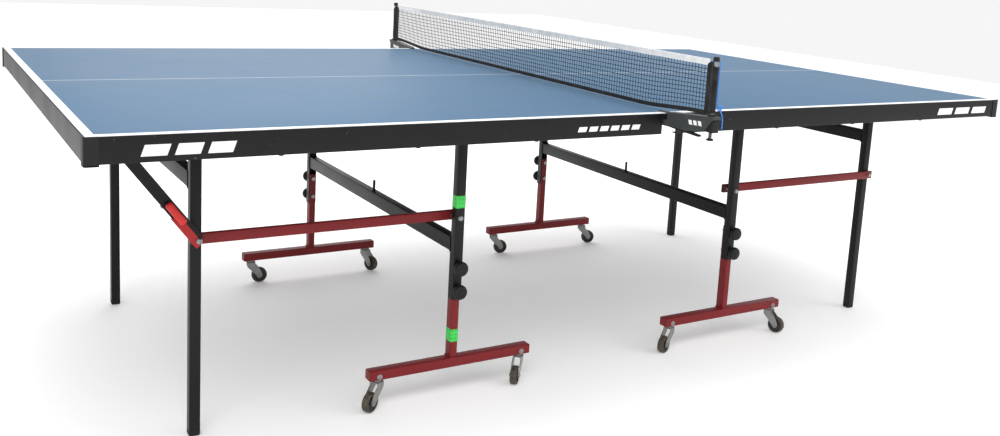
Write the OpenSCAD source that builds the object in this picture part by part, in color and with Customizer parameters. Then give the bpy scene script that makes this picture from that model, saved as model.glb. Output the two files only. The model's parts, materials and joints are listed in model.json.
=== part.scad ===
// Folding table-tennis table in two rolling halves, with its net set.
// +X runs along the table, +Y across it and +Z up. The origin is on the floor
// under the middle of the net. All sizes are in millimetres.
// Each half is drawn on the +X side and mirrored for the left half. Near parts
// are drawn on the +Y side and mirrored to -Y.

/* [Table top] */
// Length of the whole playing surface
table_l = 2740; // [2700:1:2760]
// Width of the playing surface
table_w = 1525; // [1500:1:1530]
// Height of the playing surface above the floor
table_h = 760; // [750:1:765]
// Thickness of the board
board_t = 16; // [12:1:16]
// Half of the gap between the two boards at the net
board_gap = 2; // [2:0.5:4]
// Depth of the steel edge profile, from the playing surface down
apron_h = 54; // [50:1:60]
// How far the edge profile stops short of the net line
apron_back = 24; // [22:1:40]

/* [Frame] */
// Outside width of the square leg and post tubes
tube = 25; // [25:1:26]
// Wall of the steel tubes
wall = 2; // [1.5:0.5:2.5]
// Distance of the inner posts from the net line
post_x = 466; // [460:1:480]
// Middle of the inner posts, across the table
post_y = 528; // [526:1:530]
// Distance of the outer legs from the net line
leg_x = 1102; // [1080:1:1110]
// Middle of the outer legs, across the table
leg_y = 477.5; // [475:0.5:478]
// Height of the upper pivots, inside the edge profile
pivot_z = 730; // [728:1:730]
// How far the upper pivots sit nearer the net line than the lower ones
pivot_back = 30; // [30:1:32]
// Height of the two lower pivots at the ends of the link bar
link_z = 471; // [460:1:480]
// Height of the link bar and the other red tubes
link_h = 25; // [20:1:26]
// Thickness of the link bar and of the rails under the board
link_t = 12; // [10:1:12]
// Depth of the cross beams
beam_h = 38; // [30:1:38]
// Lower edge of the beam between the inner posts
post_beam_z = 381; // [381:1:390]
// Lower edge of the beam between the outer legs
leg_beam_z = 580; // [560:1:600]

/* [Wheel bases] */
// Lower end of the black post
post_end_z = 258; // [240:1:270]
// Top of the red upright inside the post
upright_top = 359; // [350:1:360]
// Width of the red upright along the table
upright_w = 20; // [18:1:20]
// Depth of the red upright across the table
upright_d = 30; // [26:1:30]
// Length of the base beam
base_l = 460; // [440:1:480]
// Underside of the base beam
base_z = 77; // [76:1:80]
// Heights of the two clamping knobs
knob_z = [282, 343];
// How far a wheel base slides up in its post
base_travel = 20; // [10:1:20]
// Radius of a clamping knob
knob_r = 19; // [15:1:20]

/* [Casters] */
// Radius of a wheel
wheel_r = 25; // [22:1:25]
// Width of a wheel
wheel_w = 18; // [14:1:20]
// Distance of the wheel axle behind the swivel axis
trail = 28; // [20:1:30]
// Distance of the swivel axis from the end of the base beam
stem_in = 26; // [22:1:40]
// Swivel angles of the left half: near outer, near inner, far outer, far inner
left_swivel = [212, 226, 350, 296];
// Swivel angles of the right half: near inner, near outer, far inner, far outer
right_swivel = [203, 292, 344, 338];

/* [Net set] */
// Distance of the net posts from the middle of the table
net_post_y = 915; // [912:1:916]
// Height of the net above the playing surface
net_h = 152.5; // [150:0.5:155]
// Radius of a net post
net_post_r = 6; // [5:0.5:6]
// Length of the net clamp beyond the edge of the table
clamp_out = 172; // [168:1:175]
// Diameter of the tension cord
cord_d = 3; // [1.5:0.1:3]

/* [Hidden] */
$fn = 48;
half_l = table_l / 2;
half_w = table_w / 2;
board_z = table_h - board_t;
apron_z = table_h - apron_h;
sheet_t = 2;                        // steel sheet of the edge profile
flange = 18.5;                      // inward flanges of the edge profile
apron_lip = 1.5;                    // edge profile stops this far below the surface
seam = 0.1;                         // gap between welded or screwed pieces
bolt_r = 4;
hole_r = 4.1;
open_hole_r = 4.6;                  // the open pivot, where the linkage closes
washer_r = 9;
head_r = 7;
rail_h = 28;
rail_top = board_z - 2;
rail_y = leg_y + tube / 2 + 2.5;    // inner face of the rails
rail_net_x = 200;                   // rails stop here, clear of the folded beam
rail_out_x = half_l - 50;           // inner face of the outer cross rail
link_y = leg_y + tube / 2 + 1.5;    // inner face of the link bar
tube_top = pivot_z + 5.5;           // posts and legs stop clear of the board
ear_r = 12;                         // round end of the ears that hold the upper pivots
brace_y = rail_y + link_t + 1;      // inner face of the brace
brace_top = [1298, pivot_z];
brace_w = 25;
brace_dx = brace_top[0] - leg_x;
brace_dz = pivot_z - link_z;
brace_l = norm([brace_dx, brace_dz]);
brace_tilt = atan2(brace_dz, brace_dx);
sleeve_y = brace_y + link_t;        // outer face of the brace
upright_y = post_y + tube / 2 - wall - upright_d;
base_y = post_y + tube / 2 - upright_d - 0.5;
foot_h = 14;
rod_top = 451;
net_top = table_h + net_h;
net_low = table_h + 4.5;            // lower edge of the net over the boards
net_low_out = table_h + 18.5;       // lower edge of the net beyond the boards
tape_h = 16;
mesh_t = 1.6;
jaw_x = 0.5;                        // the jaws stop at the net line
clamp_w = 26;
clamp_y = half_w + 2.3;
lever_at = [half_w - 14.5, table_h - 25];

// ---------- helpers ----------

// A box from its lowest to its highest corner.
module block(low, high) {
  translate(low) cube([high[0] - low[0], high[1] - low[1], high[2] - low[2]]);
}

// Puts parts drawn on the +X side on the left half.
module left() { mirror([1, 0, 0]) children(); }

// Puts parts drawn on the +Y side on the near side.
module near() { mirror([0, 1, 0]) children(); }

// Draws parts of the +Y side on both sides.
module both_sides() {
  children();
  mirror([0, 1, 0]) children();
}

// A rod along Y, from y0 to y1, at x and z.
module rod_y(x, z, y0, y1, r) {
  translate([x, y0, z]) rotate([-90, 0, 0]) cylinder(h = y1 - y0, r = r);
}

// A rectangular steel tube with closed ends, as a hollow box.
module hollow(low, high) {
  inset = [wall, wall, wall];
  difference() {
    block(low, high);
    block(low + inset, high - inset);
  }
}

// ---------- table top ----------

// One of the two boards.
module board_half() {
  color("steelblue")
    block([board_gap, -half_w + sheet_t + 0.2, board_z],
          [half_l - sheet_t - 0.2, half_w - sheet_t - 0.2, table_h]);
}

// Cross-section of the edge profile: an outer wall with two inward flanges.
module edge_section() {
  lip_z = table_h - apron_lip;
  polygon([
    [0, apron_z], [sheet_t, apron_z], [sheet_t, lip_z], [0, lip_z], [0, board_z],
    [-flange, board_z], [-flange, board_z - sheet_t], [0, board_z - sheet_t],
    [0, apron_z + sheet_t], [-flange, apron_z + sheet_t], [-flange, apron_z]
  ]);
}

// The three edge profiles of a half: two sides and the outer end.
module edge_profiles_half() {
  color([0.16, 0.16, 0.17]) {
    both_sides()
      translate([apron_back, half_w - sheet_t, 0])
        rotate([90, 0, 90]) linear_extrude(half_l - sheet_t - seam - apron_back) edge_section();
    end_w = half_w - sheet_t - flange - seam;
    translate([half_l - sheet_t, end_w, 0])
      rotate([90, 0, 0]) linear_extrude(2 * end_w) edge_section();
    both_sides()
      block([half_l - sheet_t, end_w, apron_z], [half_l, half_w, table_h - apron_lip]);
  }
}

// Plastic caps on the two outer corners, and the buttons under the side profiles.
module corner_caps_half() {
  cap_t = 1.4;
  cap_l = 26;
  cap_low = apron_z - 3.5;
  button_x = [390, 695, 1000];
  color([0.1, 0.1, 0.1]) both_sides() {
    difference() {
      block([half_l - cap_l, half_w - cap_l, cap_low],
            [half_l + cap_t + seam, half_w + cap_t + seam, table_h - 0.5]);
      block([0, 0, apron_z - seam], [half_l + seam, half_w + seam, table_h]);
    }
    for (x = button_x)
      translate([x, half_w - 11, apron_z - 3.2]) cylinder(h = 3.1, r = 6);
  }
}

// Rails screwed under a board: two along it, one across its outer end, two
// outriggers to the edge profiles, and a stiffener near the net.
module rails_half(brace_stud = false) {
  low = rail_top - rail_h;
  side_w = half_w - sheet_t - 0.2;
  color([0.17, 0.17, 0.18]) {
    both_sides() {
      difference() {
        hollow([rail_net_x, rail_y, low], [rail_out_x - seam, rail_y + link_t, rail_top]);
        for (x = [post_x, leg_x])
          rod_y(x - pivot_back, pivot_z, rail_y - 1, rail_y + link_t + 1, hole_r);
      }
      hollow([500, rail_y + link_t + seam, low], [500 + tube, side_w, rail_top - seam]);
    }
    hollow([rail_out_x, -side_w, low], [rail_out_x + tube, side_w, rail_top - seam]);
    hollow([28, -490, board_z - 24], [50, 490, board_z - seam]);
  }
  if (brace_stud) color("silver") near() {
    rod_y(brace_top[0], brace_top[1], rail_y + link_t + seam, sleeve_y + 0.5, bolt_r);
    rod_y(brace_top[0], brace_top[1], sleeve_y + 0.5, sleeve_y + 5, head_r);
  }
}

// Ear welded to the top of a post or leg, towards the net, for its upper pivot.
module ear(x, y) {
  y0 = y - tube / 2;
  y1 = y + tube / 2;
  difference() {
    union() {
      rod_y(x - pivot_back, pivot_z, y0, y1, ear_r);
      block([x - pivot_back, y0, pivot_z - ear_r], [x - tube / 2 - seam, y1, tube_top]);
    }
    rod_y(x - pivot_back, pivot_z, y0 - 1, y1 + 1, hole_r);
  }
}

// ---------- inner frame ----------

// One inner post: a closed tube whose lower end is a channel open inwards. The
// near one is drilled for the link bar.
module post(linked = false) {
  x0 = post_x - tube / 2;
  y0 = post_y - tube / 2;
  y1 = post_y + tube / 2;
  difference() {
    block([x0, y0, post_end_z], [x0 + tube, y1, tube_top]);
    block([x0 + wall, y0 + wall, post_beam_z + wall], [x0 + tube - wall, y1 - wall, tube_top - wall]);
    block([x0 + wall, y0 - 1, post_end_z - 1], [x0 + tube - wall, y1 - wall, post_beam_z - 1]);
    if (linked) rod_y(post_x, link_z, y0 - 1, y1 + 1, hole_r);
    for (z = knob_z) {
      block([post_x - hole_r, y1 - wall - 1, z], [post_x + hole_r, y1 + 1, z + base_travel]);
      for (end_z = [z, z + base_travel]) rod_y(post_x, end_z, y1 - wall - 1, y1 + 1, hole_r);
    }
  }
}

// Both inner posts with their cross beam and its short upright peg.
module posts_half() {
  inner = post_y - tube / 2 - seam;
  top = post_beam_z + beam_h;
  color([0.16, 0.16, 0.17]) {
    post();
    near() post(true);
    both_sides() ear(post_x, post_y);
    hollow([post_x - tube / 2, -inner, post_beam_z], [post_x + tube / 2, inner, top]);
    translate([post_x, 0, top + 0.05]) cylinder(h = rod_top - top, r = 4);
  }
}

// Bolt through a post or its ear with its washer, head and nut. y0 is the nut's
// inner face.
module post_bolt(x, z, y0, washer_y0) {
  outer = post_y + tube / 2 + seam;
  inner = post_y - tube / 2 - 0.2;
  rod_y(x, z, y0, outer + 1, bolt_r);
  rod_y(x, z, y0, y0 + 4, head_r);
  rod_y(x, z, washer_y0, inner, washer_r);
  rod_y(x, z, outer, outer + 5, head_r);
}

module post_bolts_half() {
  color("silver") {
    both_sides() post_bolt(post_x - pivot_back, pivot_z, rail_y - 4.2, rail_y + link_t + 0.2);
    near() post_bolt(post_x, link_z, link_y - 4.2, link_y + link_t + 0.2);
  }
}

// ---------- outer legs ----------

// One outer leg: a tube closed at the top. The near one is drilled for the link
// bar.
module leg(linked = false) {
  x0 = leg_x - tube / 2;
  y0 = leg_y - tube / 2;
  difference() {
    block([x0, y0, foot_h + 0.05], [x0 + tube, y0 + tube, tube_top]);
    block([x0 + wall, y0 + wall, foot_h - 1], [x0 + tube - wall, y0 + tube - wall, tube_top - wall]);
    if (linked) rod_y(leg_x, link_z, y0 - 1, y0 + tube + 1, hole_r);
  }
}

// Both outer legs with their cross beam.
module legs_half() {
  x0 = leg_x - tube / 2;
  inner = leg_y - tube / 2 - seam;
  color([0.16, 0.16, 0.17]) {
    leg();
    near() leg(true);
    both_sides() ear(leg_x, leg_y);
    hollow([x0, -inner, leg_beam_z], [x0 + tube, inner, leg_beam_z + beam_h]);
  }
}

// Side outline of a foot plug, rounded towards the floor.
module foot_outline() {
  r = tube / 2;
  plug = r - wall - 0.4;
  polygon([
    [-plug, foot_h + 24], [-plug, foot_h], [-r, foot_h], [-r, 5], [-r + 1.5, 1.5], [-r + 4.5, 0],
    [r - 4.5, 0], [r - 1.5, 1.5], [r, 5], [r, foot_h], [plug, foot_h], [plug, foot_h + 24]
  ]);
}

// Plastic plugs in the lower ends of the legs.
module feet_half() {
  color([0.08, 0.08, 0.08]) both_sides() translate([leg_x, leg_y, 0]) intersection() {
    translate([0, tube, 0]) rotate([90, 0, 0]) linear_extrude(2 * tube) foot_outline();
    translate([-tube, 0, 0]) rotate([90, 0, 90]) linear_extrude(2 * tube) foot_outline();
  }
}

// The leg bolts: one at each upper pivot, and one through the link bar's outer
// end that reaches out to end_y.
module leg_bolts_half(end_y) {
  inner = leg_y - tube / 2 - seam;
  outer = leg_y + tube / 2 + 0.2;
  color("silver") {
    both_sides() {
      rod_y(leg_x - pivot_back, pivot_z, inner - 4, rail_y + link_t, bolt_r);
      rod_y(leg_x - pivot_back, pivot_z, inner - 4, inner, head_r);
      rod_y(leg_x - pivot_back, pivot_z, outer, rail_y - 0.2, washer_r);
    }
    near() {
      rod_y(leg_x, link_z, inner - 4, end_y + 1, bolt_r);
      rod_y(leg_x, link_z, inner - 4, inner, head_r);
      rod_y(leg_x, link_z, outer, link_y - 0.3, washer_r);
      rod_y(leg_x, link_z, end_y, end_y + 5.5, head_r);
    }
  }
}

// The red bar on the near side that keeps the outer legs upright in the fold.
module link_bar_half() {
  over = 15;
  color([0.55, 0.14, 0.16]) near() difference() {
    hollow([post_x - over, link_y, link_z - link_h / 2],
           [leg_x + over, link_y + link_t, link_z + link_h / 2]);
    rod_y(post_x, link_z, link_y - 1, link_y + link_t + 1, hole_r);
    rod_y(leg_x, link_z, link_y - 1, link_y + link_t + 1, open_hole_r);
  }
}

// ---------- brace and latch ----------

// Places a part drawn along +X from the link bolt, in the brace's own slope.
module along_brace() {
  near() translate([leg_x, 0, link_z]) rotate([0, -brace_tilt, 0]) children();
}

// The diagonal brace: hinged under the board, half-round seat on the link bolt.
module brace() {
  y1 = brace_y + link_t;
  color([0.15, 0.15, 0.16]) along_brace() difference() {
    union() {
      block([0, brace_y, -brace_w / 2], [brace_l, y1, brace_w / 2]);
      rod_y(brace_l, 0, brace_y, y1, brace_w / 2);
    }
    block([12, brace_y + wall, -brace_w / 2 + wall], [brace_l - 16, y1 - wall, brace_w / 2 - wall]);
    rod_y(0, 0, brace_y - 1, y1 + 1, bolt_r + 0.4);
    rod_y(brace_l, 0, brace_y - 1, y1 + 1, hole_r);
  }
}

// The red sleeve that slides along the brace, with its finger grip.
module latch_sleeve() {
  web = sleeve_y + 0.5;
  gap = brace_w / 2 + 0.4;
  low = -gap - wall;
  hook_z = 3.2;
  sleeve_l = 78;
  grip_z = -4;
  grip_r = 8;
  color([0.75, 0.18, 0.16]) along_brace() {
    difference() {
      union() {
        block([0, brace_y + 0.5, low], [sleeve_l, web + wall, hook_z]);
        block([-10, web, low], [1, web + wall, hook_z]);
      }
      block([-1, brace_y, -gap], [sleeve_l + 1, web, gap]);
      rod_y(0, 0, web - 1, web + wall + 1, bolt_r + 0.4);
      block([-20, web - 1, -bolt_r - 0.4], [0, web + wall + 1, bolt_r + 0.4]);
    }
    block([58, web + wall - 0.5, grip_z - grip_r], [110, web + wall + 11, grip_z + grip_r]);
    for (x = [58, 110]) rod_y(x, grip_z, web + wall - 0.5, web + wall + 11, grip_r);
  }
}

// ---------- wheel bases ----------

// One red wheel base: an upright that slides in the post, and the base beam.
module base() {
  y1 = upright_y + upright_d;
  beam_y1 = base_y + upright_d;
  top = base_z + link_h;
  stem_x = base_l / 2 - stem_in;
  color([0.6, 0.15, 0.16]) {
    difference() {
      hollow([post_x - upright_w / 2, upright_y, top + 0.05],
             [post_x + upright_w / 2, y1, upright_top]);
      for (z = knob_z) rod_y(post_x, z, upright_y - 1, y1 + 1, hole_r);
    }
    difference() {
      hollow([post_x - base_l / 2, base_y, base_z], [post_x + base_l / 2, beam_y1, top]);
      for (x = [post_x - stem_x, post_x + stem_x])
        translate([x, base_y + upright_d / 2, base_z - 1]) cylinder(h = wall + 2, r = 5.1);
    }
  }
}

// A clamping knob with its bolt: drawn along +Y from the post's outer face.
module knob(z) {
  face = post_y + tube / 2 + 0.2;
  head = upright_y - 0.2;
  color([0.1, 0.1, 0.1]) translate([post_x, face, z]) rotate([-90, 0, 0]) rotate_extrude()
    polygon([[0, 0], [9, 0], [9, 5], [knob_r - 3, 8], [knob_r, 11], [knob_r, 19],
             [knob_r - 2, 22.5], [knob_r - 6, 25], [0, 26]]);
  color("silver") {
    rod_y(post_x, z, head - 4, face + 1, bolt_r);
    rod_y(post_x, z, head - 4, head, 6.5);
  }
}

// ---------- casters ----------

stem_far = base_l / 2 - stem_in;
stem_y = base_y + upright_d / 2;

// Places a caster: side is -1 or 1 along X, end is -1 or 1 from the post, near or
// far is row -1 or 1, and the swivel angle turns it about its stem.
module at_caster(side, end, row, angle) {
  translate([side * post_x + end * stem_far, row * stem_y, 0]) rotate([0, 0, angle]) children();
}

// A swivel fork with its stem, raceway, cheeks and axle. It trails towards +X.
module fork() {
  cheek = wheel_w / 2 + 1.2;
  crown_z = base_z - 7;
  color([0.62, 0.62, 0.6]) {
    translate([0, 0, crown_z + 1.5]) cylinder(h = 5.3, r = 12);
    translate([0, 0, crown_z]) cylinder(h = base_z - crown_z + 20, r = 5);
    translate([0, 0, crown_z]) cylinder(h = 2, r = 15);
    block([-12, -cheek - wall, crown_z - 2], [14, cheek + wall, crown_z + 0.5]);
    for (y = [cheek + wall, -cheek]) translate([0, y, 0]) rotate([90, 0, 0]) linear_extrude(wall)
      polygon([[-12, crown_z], [14, crown_z], [30, 44], [trail + 9, 27], [trail + 5, 17],
               [trail - 5, 17], [trail - 11, 27], [-12, crown_z - 12]]);
    rod_y(trail, wheel_r, -cheek - wall - 2.5, cheek + wall + 2.5, 3);
    for (y = [-cheek - wall - 2.5, cheek + wall]) rod_y(trail, wheel_r, y, y + 2.5, 5.5);
  }
}

// A wheel with a raised hub and a rounded tread.
module wheel() {
  h = wheel_w / 2;
  r = wheel_r;
  color([0.12, 0.12, 0.12]) translate([trail, 0, wheel_r]) rotate([90, 0, 0]) rotate_extrude()
    polygon([[3.1, -h], [9, -h], [9, 1.5 - h], [r - 8, 1.5 - h], [r - 6.5, -h], [r - 3, -h],
             [r - 0.8, 2 - h], [r, 5 - h], [r, h - 5], [r - 0.8, h - 2], [r - 3, h],
             [r - 6.5, h], [r - 8, h - 1.5], [9, h - 1.5], [9, h], [3.1, h]]);
}

// ---------- net set ----------

// Side outline of the clamp arm, beyond the edge of the table.
module clamp_outline(inset) {
  out = clamp_y + clamp_out - 2;
  polygon([[clamp_y, 763 - inset], [out, 777 - inset], [out, 769 - inset], [902, 736 - inset],
           [839, 728 - inset], [clamp_y, 729 - inset]]);
}

// A steel channel arm with two cheeks, an upper jaw and the lower jaw's cheeks.
module clamp() {
  half = clamp_w / 2;
  difference() {
    union() {
      translate([-half, 0, 0]) rotate([90, 0, 90]) linear_extrude(clamp_w) clamp_outline(0);
      block([-half, half_w - 34, table_h + 0.4], [jaw_x, clamp_y + 3, 763]);
    }
    translate([-half + 2, 2.5, 0]) rotate([90, 0, 90]) linear_extrude(clamp_w - 4)
      offset(delta = 0) clamp_outline(2.6);
    block([-half + 2, clamp_y - 1, 700], [half - 2, clamp_y + 3, 741]);
    translate([0, net_post_y, 700]) cylinder(h = 100, r = net_post_r + 0.1);
  }
  for (x = [-half, jaw_x - 2])
    difference() {
      block([x, half_w - 27.5, table_h - 33], [x + 2, clamp_y + 6, board_z - 0.4]);
      translate([x - 1, lever_at[0], lever_at[1]]) rotate([0, 90, 0]) cylinder(h = 4, r = 3.1);
    }
  block([-half, clamp_y + 0.2, 741], [jaw_x, clamp_y + 2.4, 744]);
}

module net_clamps() { color([0.3, 0.31, 0.32]) both_sides() clamp(); }

// The cam lever under a clamp, with its pin.
module clamp_lever() {
  x0 = -clamp_w / 2 + 2.3;
  x1 = jaw_x - 2.3;
  color([0.14, 0.14, 0.14]) {
    translate([x0, 0, 0]) rotate([90, 0, 90]) linear_extrude(x1 - x0) union() {
      translate(lever_at) circle(r = 8.3);
      polygon([[lever_at[0], lever_at[1] - 7], [lever_at[0], lever_at[1] + 3], [840, 729],
               [884, 726], [889, 723], [884, 720.5], [840, 722.5]]);
    }
    translate([-clamp_w / 2 - 1.5, lever_at[0], lever_at[1]]) rotate([0, 90, 0])
      cylinder(h = clamp_w / 2 + 1.5 + jaw_x + 0.1, r = 3);
  }
}

// Both net posts with their caps.
module net_posts() {
  color([0.5, 0.5, 0.5]) both_sides() translate([0, net_post_y, 0]) rotate_extrude()
    polygon([[0, 747], [net_post_r, 747], [net_post_r, net_top - 4], [7.6, net_top - 4],
             [7.6, net_top + 5], [6, net_top + 7], [0, net_top + 7.5]]);
}

// The screw under a net post that sets the net's height.
module height_screw() {
  color([0.1, 0.1, 0.1]) translate([0, net_post_y, 0]) rotate_extrude()
    polygon([[0, 717], [7.5, 717], [9, 718.5], [9, 720.5], [7, 722], [4, 722.5], [4, 746.6], [0, 746.6]]);
}

// The net as a thin sheet with the sleeves that slip over its posts.
module netting() {
  t = mesh_t / 2;
  top = net_top - tape_h;
  sleeve_h = 118;
  color([0.12, 0.12, 0.13]) difference() {
    union() {
      block([-t, -half_w + 6, net_low], [t, half_w - 6, top]);
      block([-t, -net_post_y, net_low_out], [t, net_post_y, top]);
      both_sides() translate([0, net_post_y, net_low_out + 7]) cylinder(h = sleeve_h, r = 7.8);
    }
    both_sides() translate([0, net_post_y, net_low_out - 20]) cylinder(h = 200, r = 6.3);
  }
}

// The white band folded over the top edge of the net.
module net_tape() {
  color("white")
    block([-1.4, -net_post_y + 22, net_top - tape_h + 0.1], [1.4, net_post_y - 22, net_top]);
}

// Route of the cord: out of the tape's near end, past the post, down beside the
// sleeve, one small loop, then over the clamp's side to its free end.
cord_route = [
  [0, -894, 905], [1.5, -898, 906], [6, -904, 908.5], [10, -911, 911], [10.5, -917, 908],
  [10, -918.5, 895], [10, -918.5, 872], [10, -918.5, 850], [10, -918.5, 828], [10.5, -918.5, 812],
  [11, -919, 804], [12, -919.5, 797.5], [14, -920, 791.5], [18, -921, 789.5], [21.5, -922, 792.5],
  [22, -923, 798], [19, -924, 802], [15, -925, 801.5], [13.5, -925.5, 796.5], [15, -926, 790.5],
  [18.5, -926.5, 785], [22, -926.5, 779], [24, -926.5, 772], [25, -926, 765], [25, -926, 755],
  [25, -926, 746]
];

// A point on the smooth curve through four route points, at fraction t.
function spline(p, q, r, s, t) =
  0.5 * (2 * q + (r - p) * t + (2 * p - 5 * q + 4 * r - s) * t * t
  + (3 * q - p - 3 * r + s) * t * t * t);

// The route as evenly divided points, n to a stretch.
function smooth(pts, n) = [
  for (i = [0 : len(pts) - 2], k = [0 : n - 1])
    spline(pts[max(i - 1, 0)], pts[i], pts[i + 1], pts[min(i + 2, len(pts) - 1)], k / n),
  pts[len(pts) - 1]
];

function unit(v) = v / norm(v);
function heading(pts, i) = unit(pts[min(i + 1, len(pts) - 1)] - pts[max(i - 1, 0)]);

// A side direction square to a heading, kept from flipping by a fixed helper.
function side_of(h) = unit(cross(h, [0.3, 1, 0.2]));

// A closed tube of radius r swept along pts with n sides.
module sweep_tube(pts, r, n) {
  rings = [for (i = [0 : len(pts) - 1]) let (h = heading(pts, i), a = side_of(h), b = cross(h, a))
    for (k = [0 : n - 1]) pts[i] + r * (cos(360 * k / n) * a + sin(360 * k / n) * b)];
  last = len(pts) - 1;
  walls = [for (i = [0 : last - 1], k = [0 : n - 1])
    [i * n + k, i * n + (k + 1) % n, (i + 1) * n + (k + 1) % n, (i + 1) * n + k]];
  polyhedron(rings, concat(walls, [[for (k = [n - 1 : -1 : 0]) k], [for (k = [0 : n - 1]) last * n + k]]));
}

module tension_cord() { color([0.1, 0.35, 0.75]) sweep_tube(smooth(cord_route, 3), cord_d / 2, 8); }

// ---------- drawing ----------

left() board_half();  // left_board
left() edge_profiles_half();  // left_edge_profiles
left() corner_caps_half();  // left_corner_caps
left() rails_half(true);  // left_rails
left() posts_half();  // left_posts
left() post_bolts_half();  // left_post_bolts
left() legs_half();  // left_legs
left() feet_half();  // left_feet
left() leg_bolts_half(sleeve_y + 3);  // left_leg_bolts
left() link_bar_half();  // left_link_bar
left() brace();
left() latch_sleeve();
board_half();  // right_board
edge_profiles_half();  // right_edge_profiles
corner_caps_half();  // right_corner_caps
rails_half();  // right_rails
posts_half();  // right_posts
post_bolts_half();  // right_post_bolts
legs_half();  // right_legs
feet_half();  // right_feet
leg_bolts_half(link_y + link_t + 0.2);  // right_leg_bolts
link_bar_half();  // right_link_bar
left() near() base();  // left_near_base
left() base();  // left_far_base
near() base();  // right_near_base
base();  // right_far_base
left() near() knob(knob_z[0]);  // left_near_lower_knob
left() near() knob(knob_z[1]);  // left_near_upper_knob
left() knob(knob_z[0]);  // left_far_lower_knob
left() knob(knob_z[1]);  // left_far_upper_knob
near() knob(knob_z[0]);  // right_near_lower_knob
near() knob(knob_z[1]);  // right_near_upper_knob
knob(knob_z[0]);  // right_far_lower_knob
knob(knob_z[1]);  // right_far_upper_knob
at_caster(-1, -1, -1, left_swivel[0]) fork();  // left_near_outer_fork
at_caster(-1, 1, -1, left_swivel[1]) fork();  // left_near_inner_fork
at_caster(-1, -1, 1, left_swivel[2]) fork();  // left_far_outer_fork
at_caster(-1, 1, 1, left_swivel[3]) fork();  // left_far_inner_fork
at_caster(1, -1, -1, right_swivel[0]) fork();  // right_near_inner_fork
at_caster(1, 1, -1, right_swivel[1]) fork();  // right_near_outer_fork
at_caster(1, -1, 1, right_swivel[2]) fork();  // right_far_inner_fork
at_caster(1, 1, 1, right_swivel[3]) fork();  // right_far_outer_fork
at_caster(-1, -1, -1, left_swivel[0]) wheel();  // left_near_outer_wheel
at_caster(-1, 1, -1, left_swivel[1]) wheel();  // left_near_inner_wheel
at_caster(-1, -1, 1, left_swivel[2]) wheel();  // left_far_outer_wheel
at_caster(-1, 1, 1, left_swivel[3]) wheel();  // left_far_inner_wheel
at_caster(1, -1, -1, right_swivel[0]) wheel();  // right_near_inner_wheel
at_caster(1, 1, -1, right_swivel[1]) wheel();  // right_near_outer_wheel
at_caster(1, -1, 1, right_swivel[2]) wheel();  // right_far_inner_wheel
at_caster(1, 1, 1, right_swivel[3]) wheel();  // right_far_outer_wheel
net_clamps();
net_posts();
near() clamp_lever();  // near_clamp_lever
clamp_lever();  // far_clamp_lever
near() height_screw();  // near_height_screw
height_screw();  // far_height_screw
netting();
net_tape();
tension_cord();
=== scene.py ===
"""A folding table-tennis table in two rolling halves, with its net set.

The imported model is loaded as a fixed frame, and every visible piece is a surface worked out
around it. Lengths inside the script are in millimetres and become metres when a mesh is made.
"""

import json
import math

import bmesh
import bpy
import numpy as np
from bpy.props import FloatProperty, FloatVectorProperty, IntProperty, PointerProperty
from mathutils import Matrix, Vector


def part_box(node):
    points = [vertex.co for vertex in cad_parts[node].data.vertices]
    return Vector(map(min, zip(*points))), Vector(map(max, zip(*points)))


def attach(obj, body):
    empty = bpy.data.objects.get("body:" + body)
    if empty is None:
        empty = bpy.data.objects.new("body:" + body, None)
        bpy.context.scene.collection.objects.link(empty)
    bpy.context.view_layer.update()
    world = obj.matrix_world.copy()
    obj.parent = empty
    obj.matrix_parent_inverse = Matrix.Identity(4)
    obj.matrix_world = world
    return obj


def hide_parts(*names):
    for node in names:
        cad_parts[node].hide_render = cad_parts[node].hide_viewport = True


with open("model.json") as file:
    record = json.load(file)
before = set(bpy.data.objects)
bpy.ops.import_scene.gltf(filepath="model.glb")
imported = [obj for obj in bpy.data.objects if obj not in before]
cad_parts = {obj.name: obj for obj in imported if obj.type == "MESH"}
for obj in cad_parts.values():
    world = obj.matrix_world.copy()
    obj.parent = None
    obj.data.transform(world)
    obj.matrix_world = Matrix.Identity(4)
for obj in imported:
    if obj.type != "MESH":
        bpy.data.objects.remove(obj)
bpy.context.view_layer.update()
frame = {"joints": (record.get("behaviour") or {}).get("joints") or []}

bl_info = {
    "name": "Folding Table Tennis Table",
    "version": (1, 0, 0),
    "blender": (4, 5, 0),
    "location": "View3D > Sidebar > Table",
    "description": "Builds the visible pieces of a folding table tennis table round its frame",
    "category": "Object",
}

MM = 0.001
SIDES = (("left", -1), ("right", 1))
ROWS = (("near", -1), ("far", 1))


def box(node):
    """The lowest and highest corner of a CAD node, in millimetres."""
    low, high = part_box(node)
    return np.array(low) / MM, np.array(high) / MM


def joint(name):
    """A point on a joint's axis, in millimetres."""
    found = next(j for j in frame["joints"] if j["name"] == name)
    return np.array(found["pos_m"]) / MM


# ---------------------------------------------------------------- sizes and colours

board_low, board_high = box("right_board")
profile_low, profile_high = box("right_edge_profiles")
leg_high = box("right_legs")[1]
post_low, post_high = box("right_posts")
bar_low, bar_high = box("right_link_bar")
base_low, base_high = box("right_far_base")
cap_low, cap_high = box("right_corner_caps")
rail_high = box("right_rails")[1]
tape_low, tape_high = box("net_tape")
net_low = box("netting")[0]
net_post_low, net_post_high = box("net_posts")
clamp_high = box("net_clamps")[1]

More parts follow.
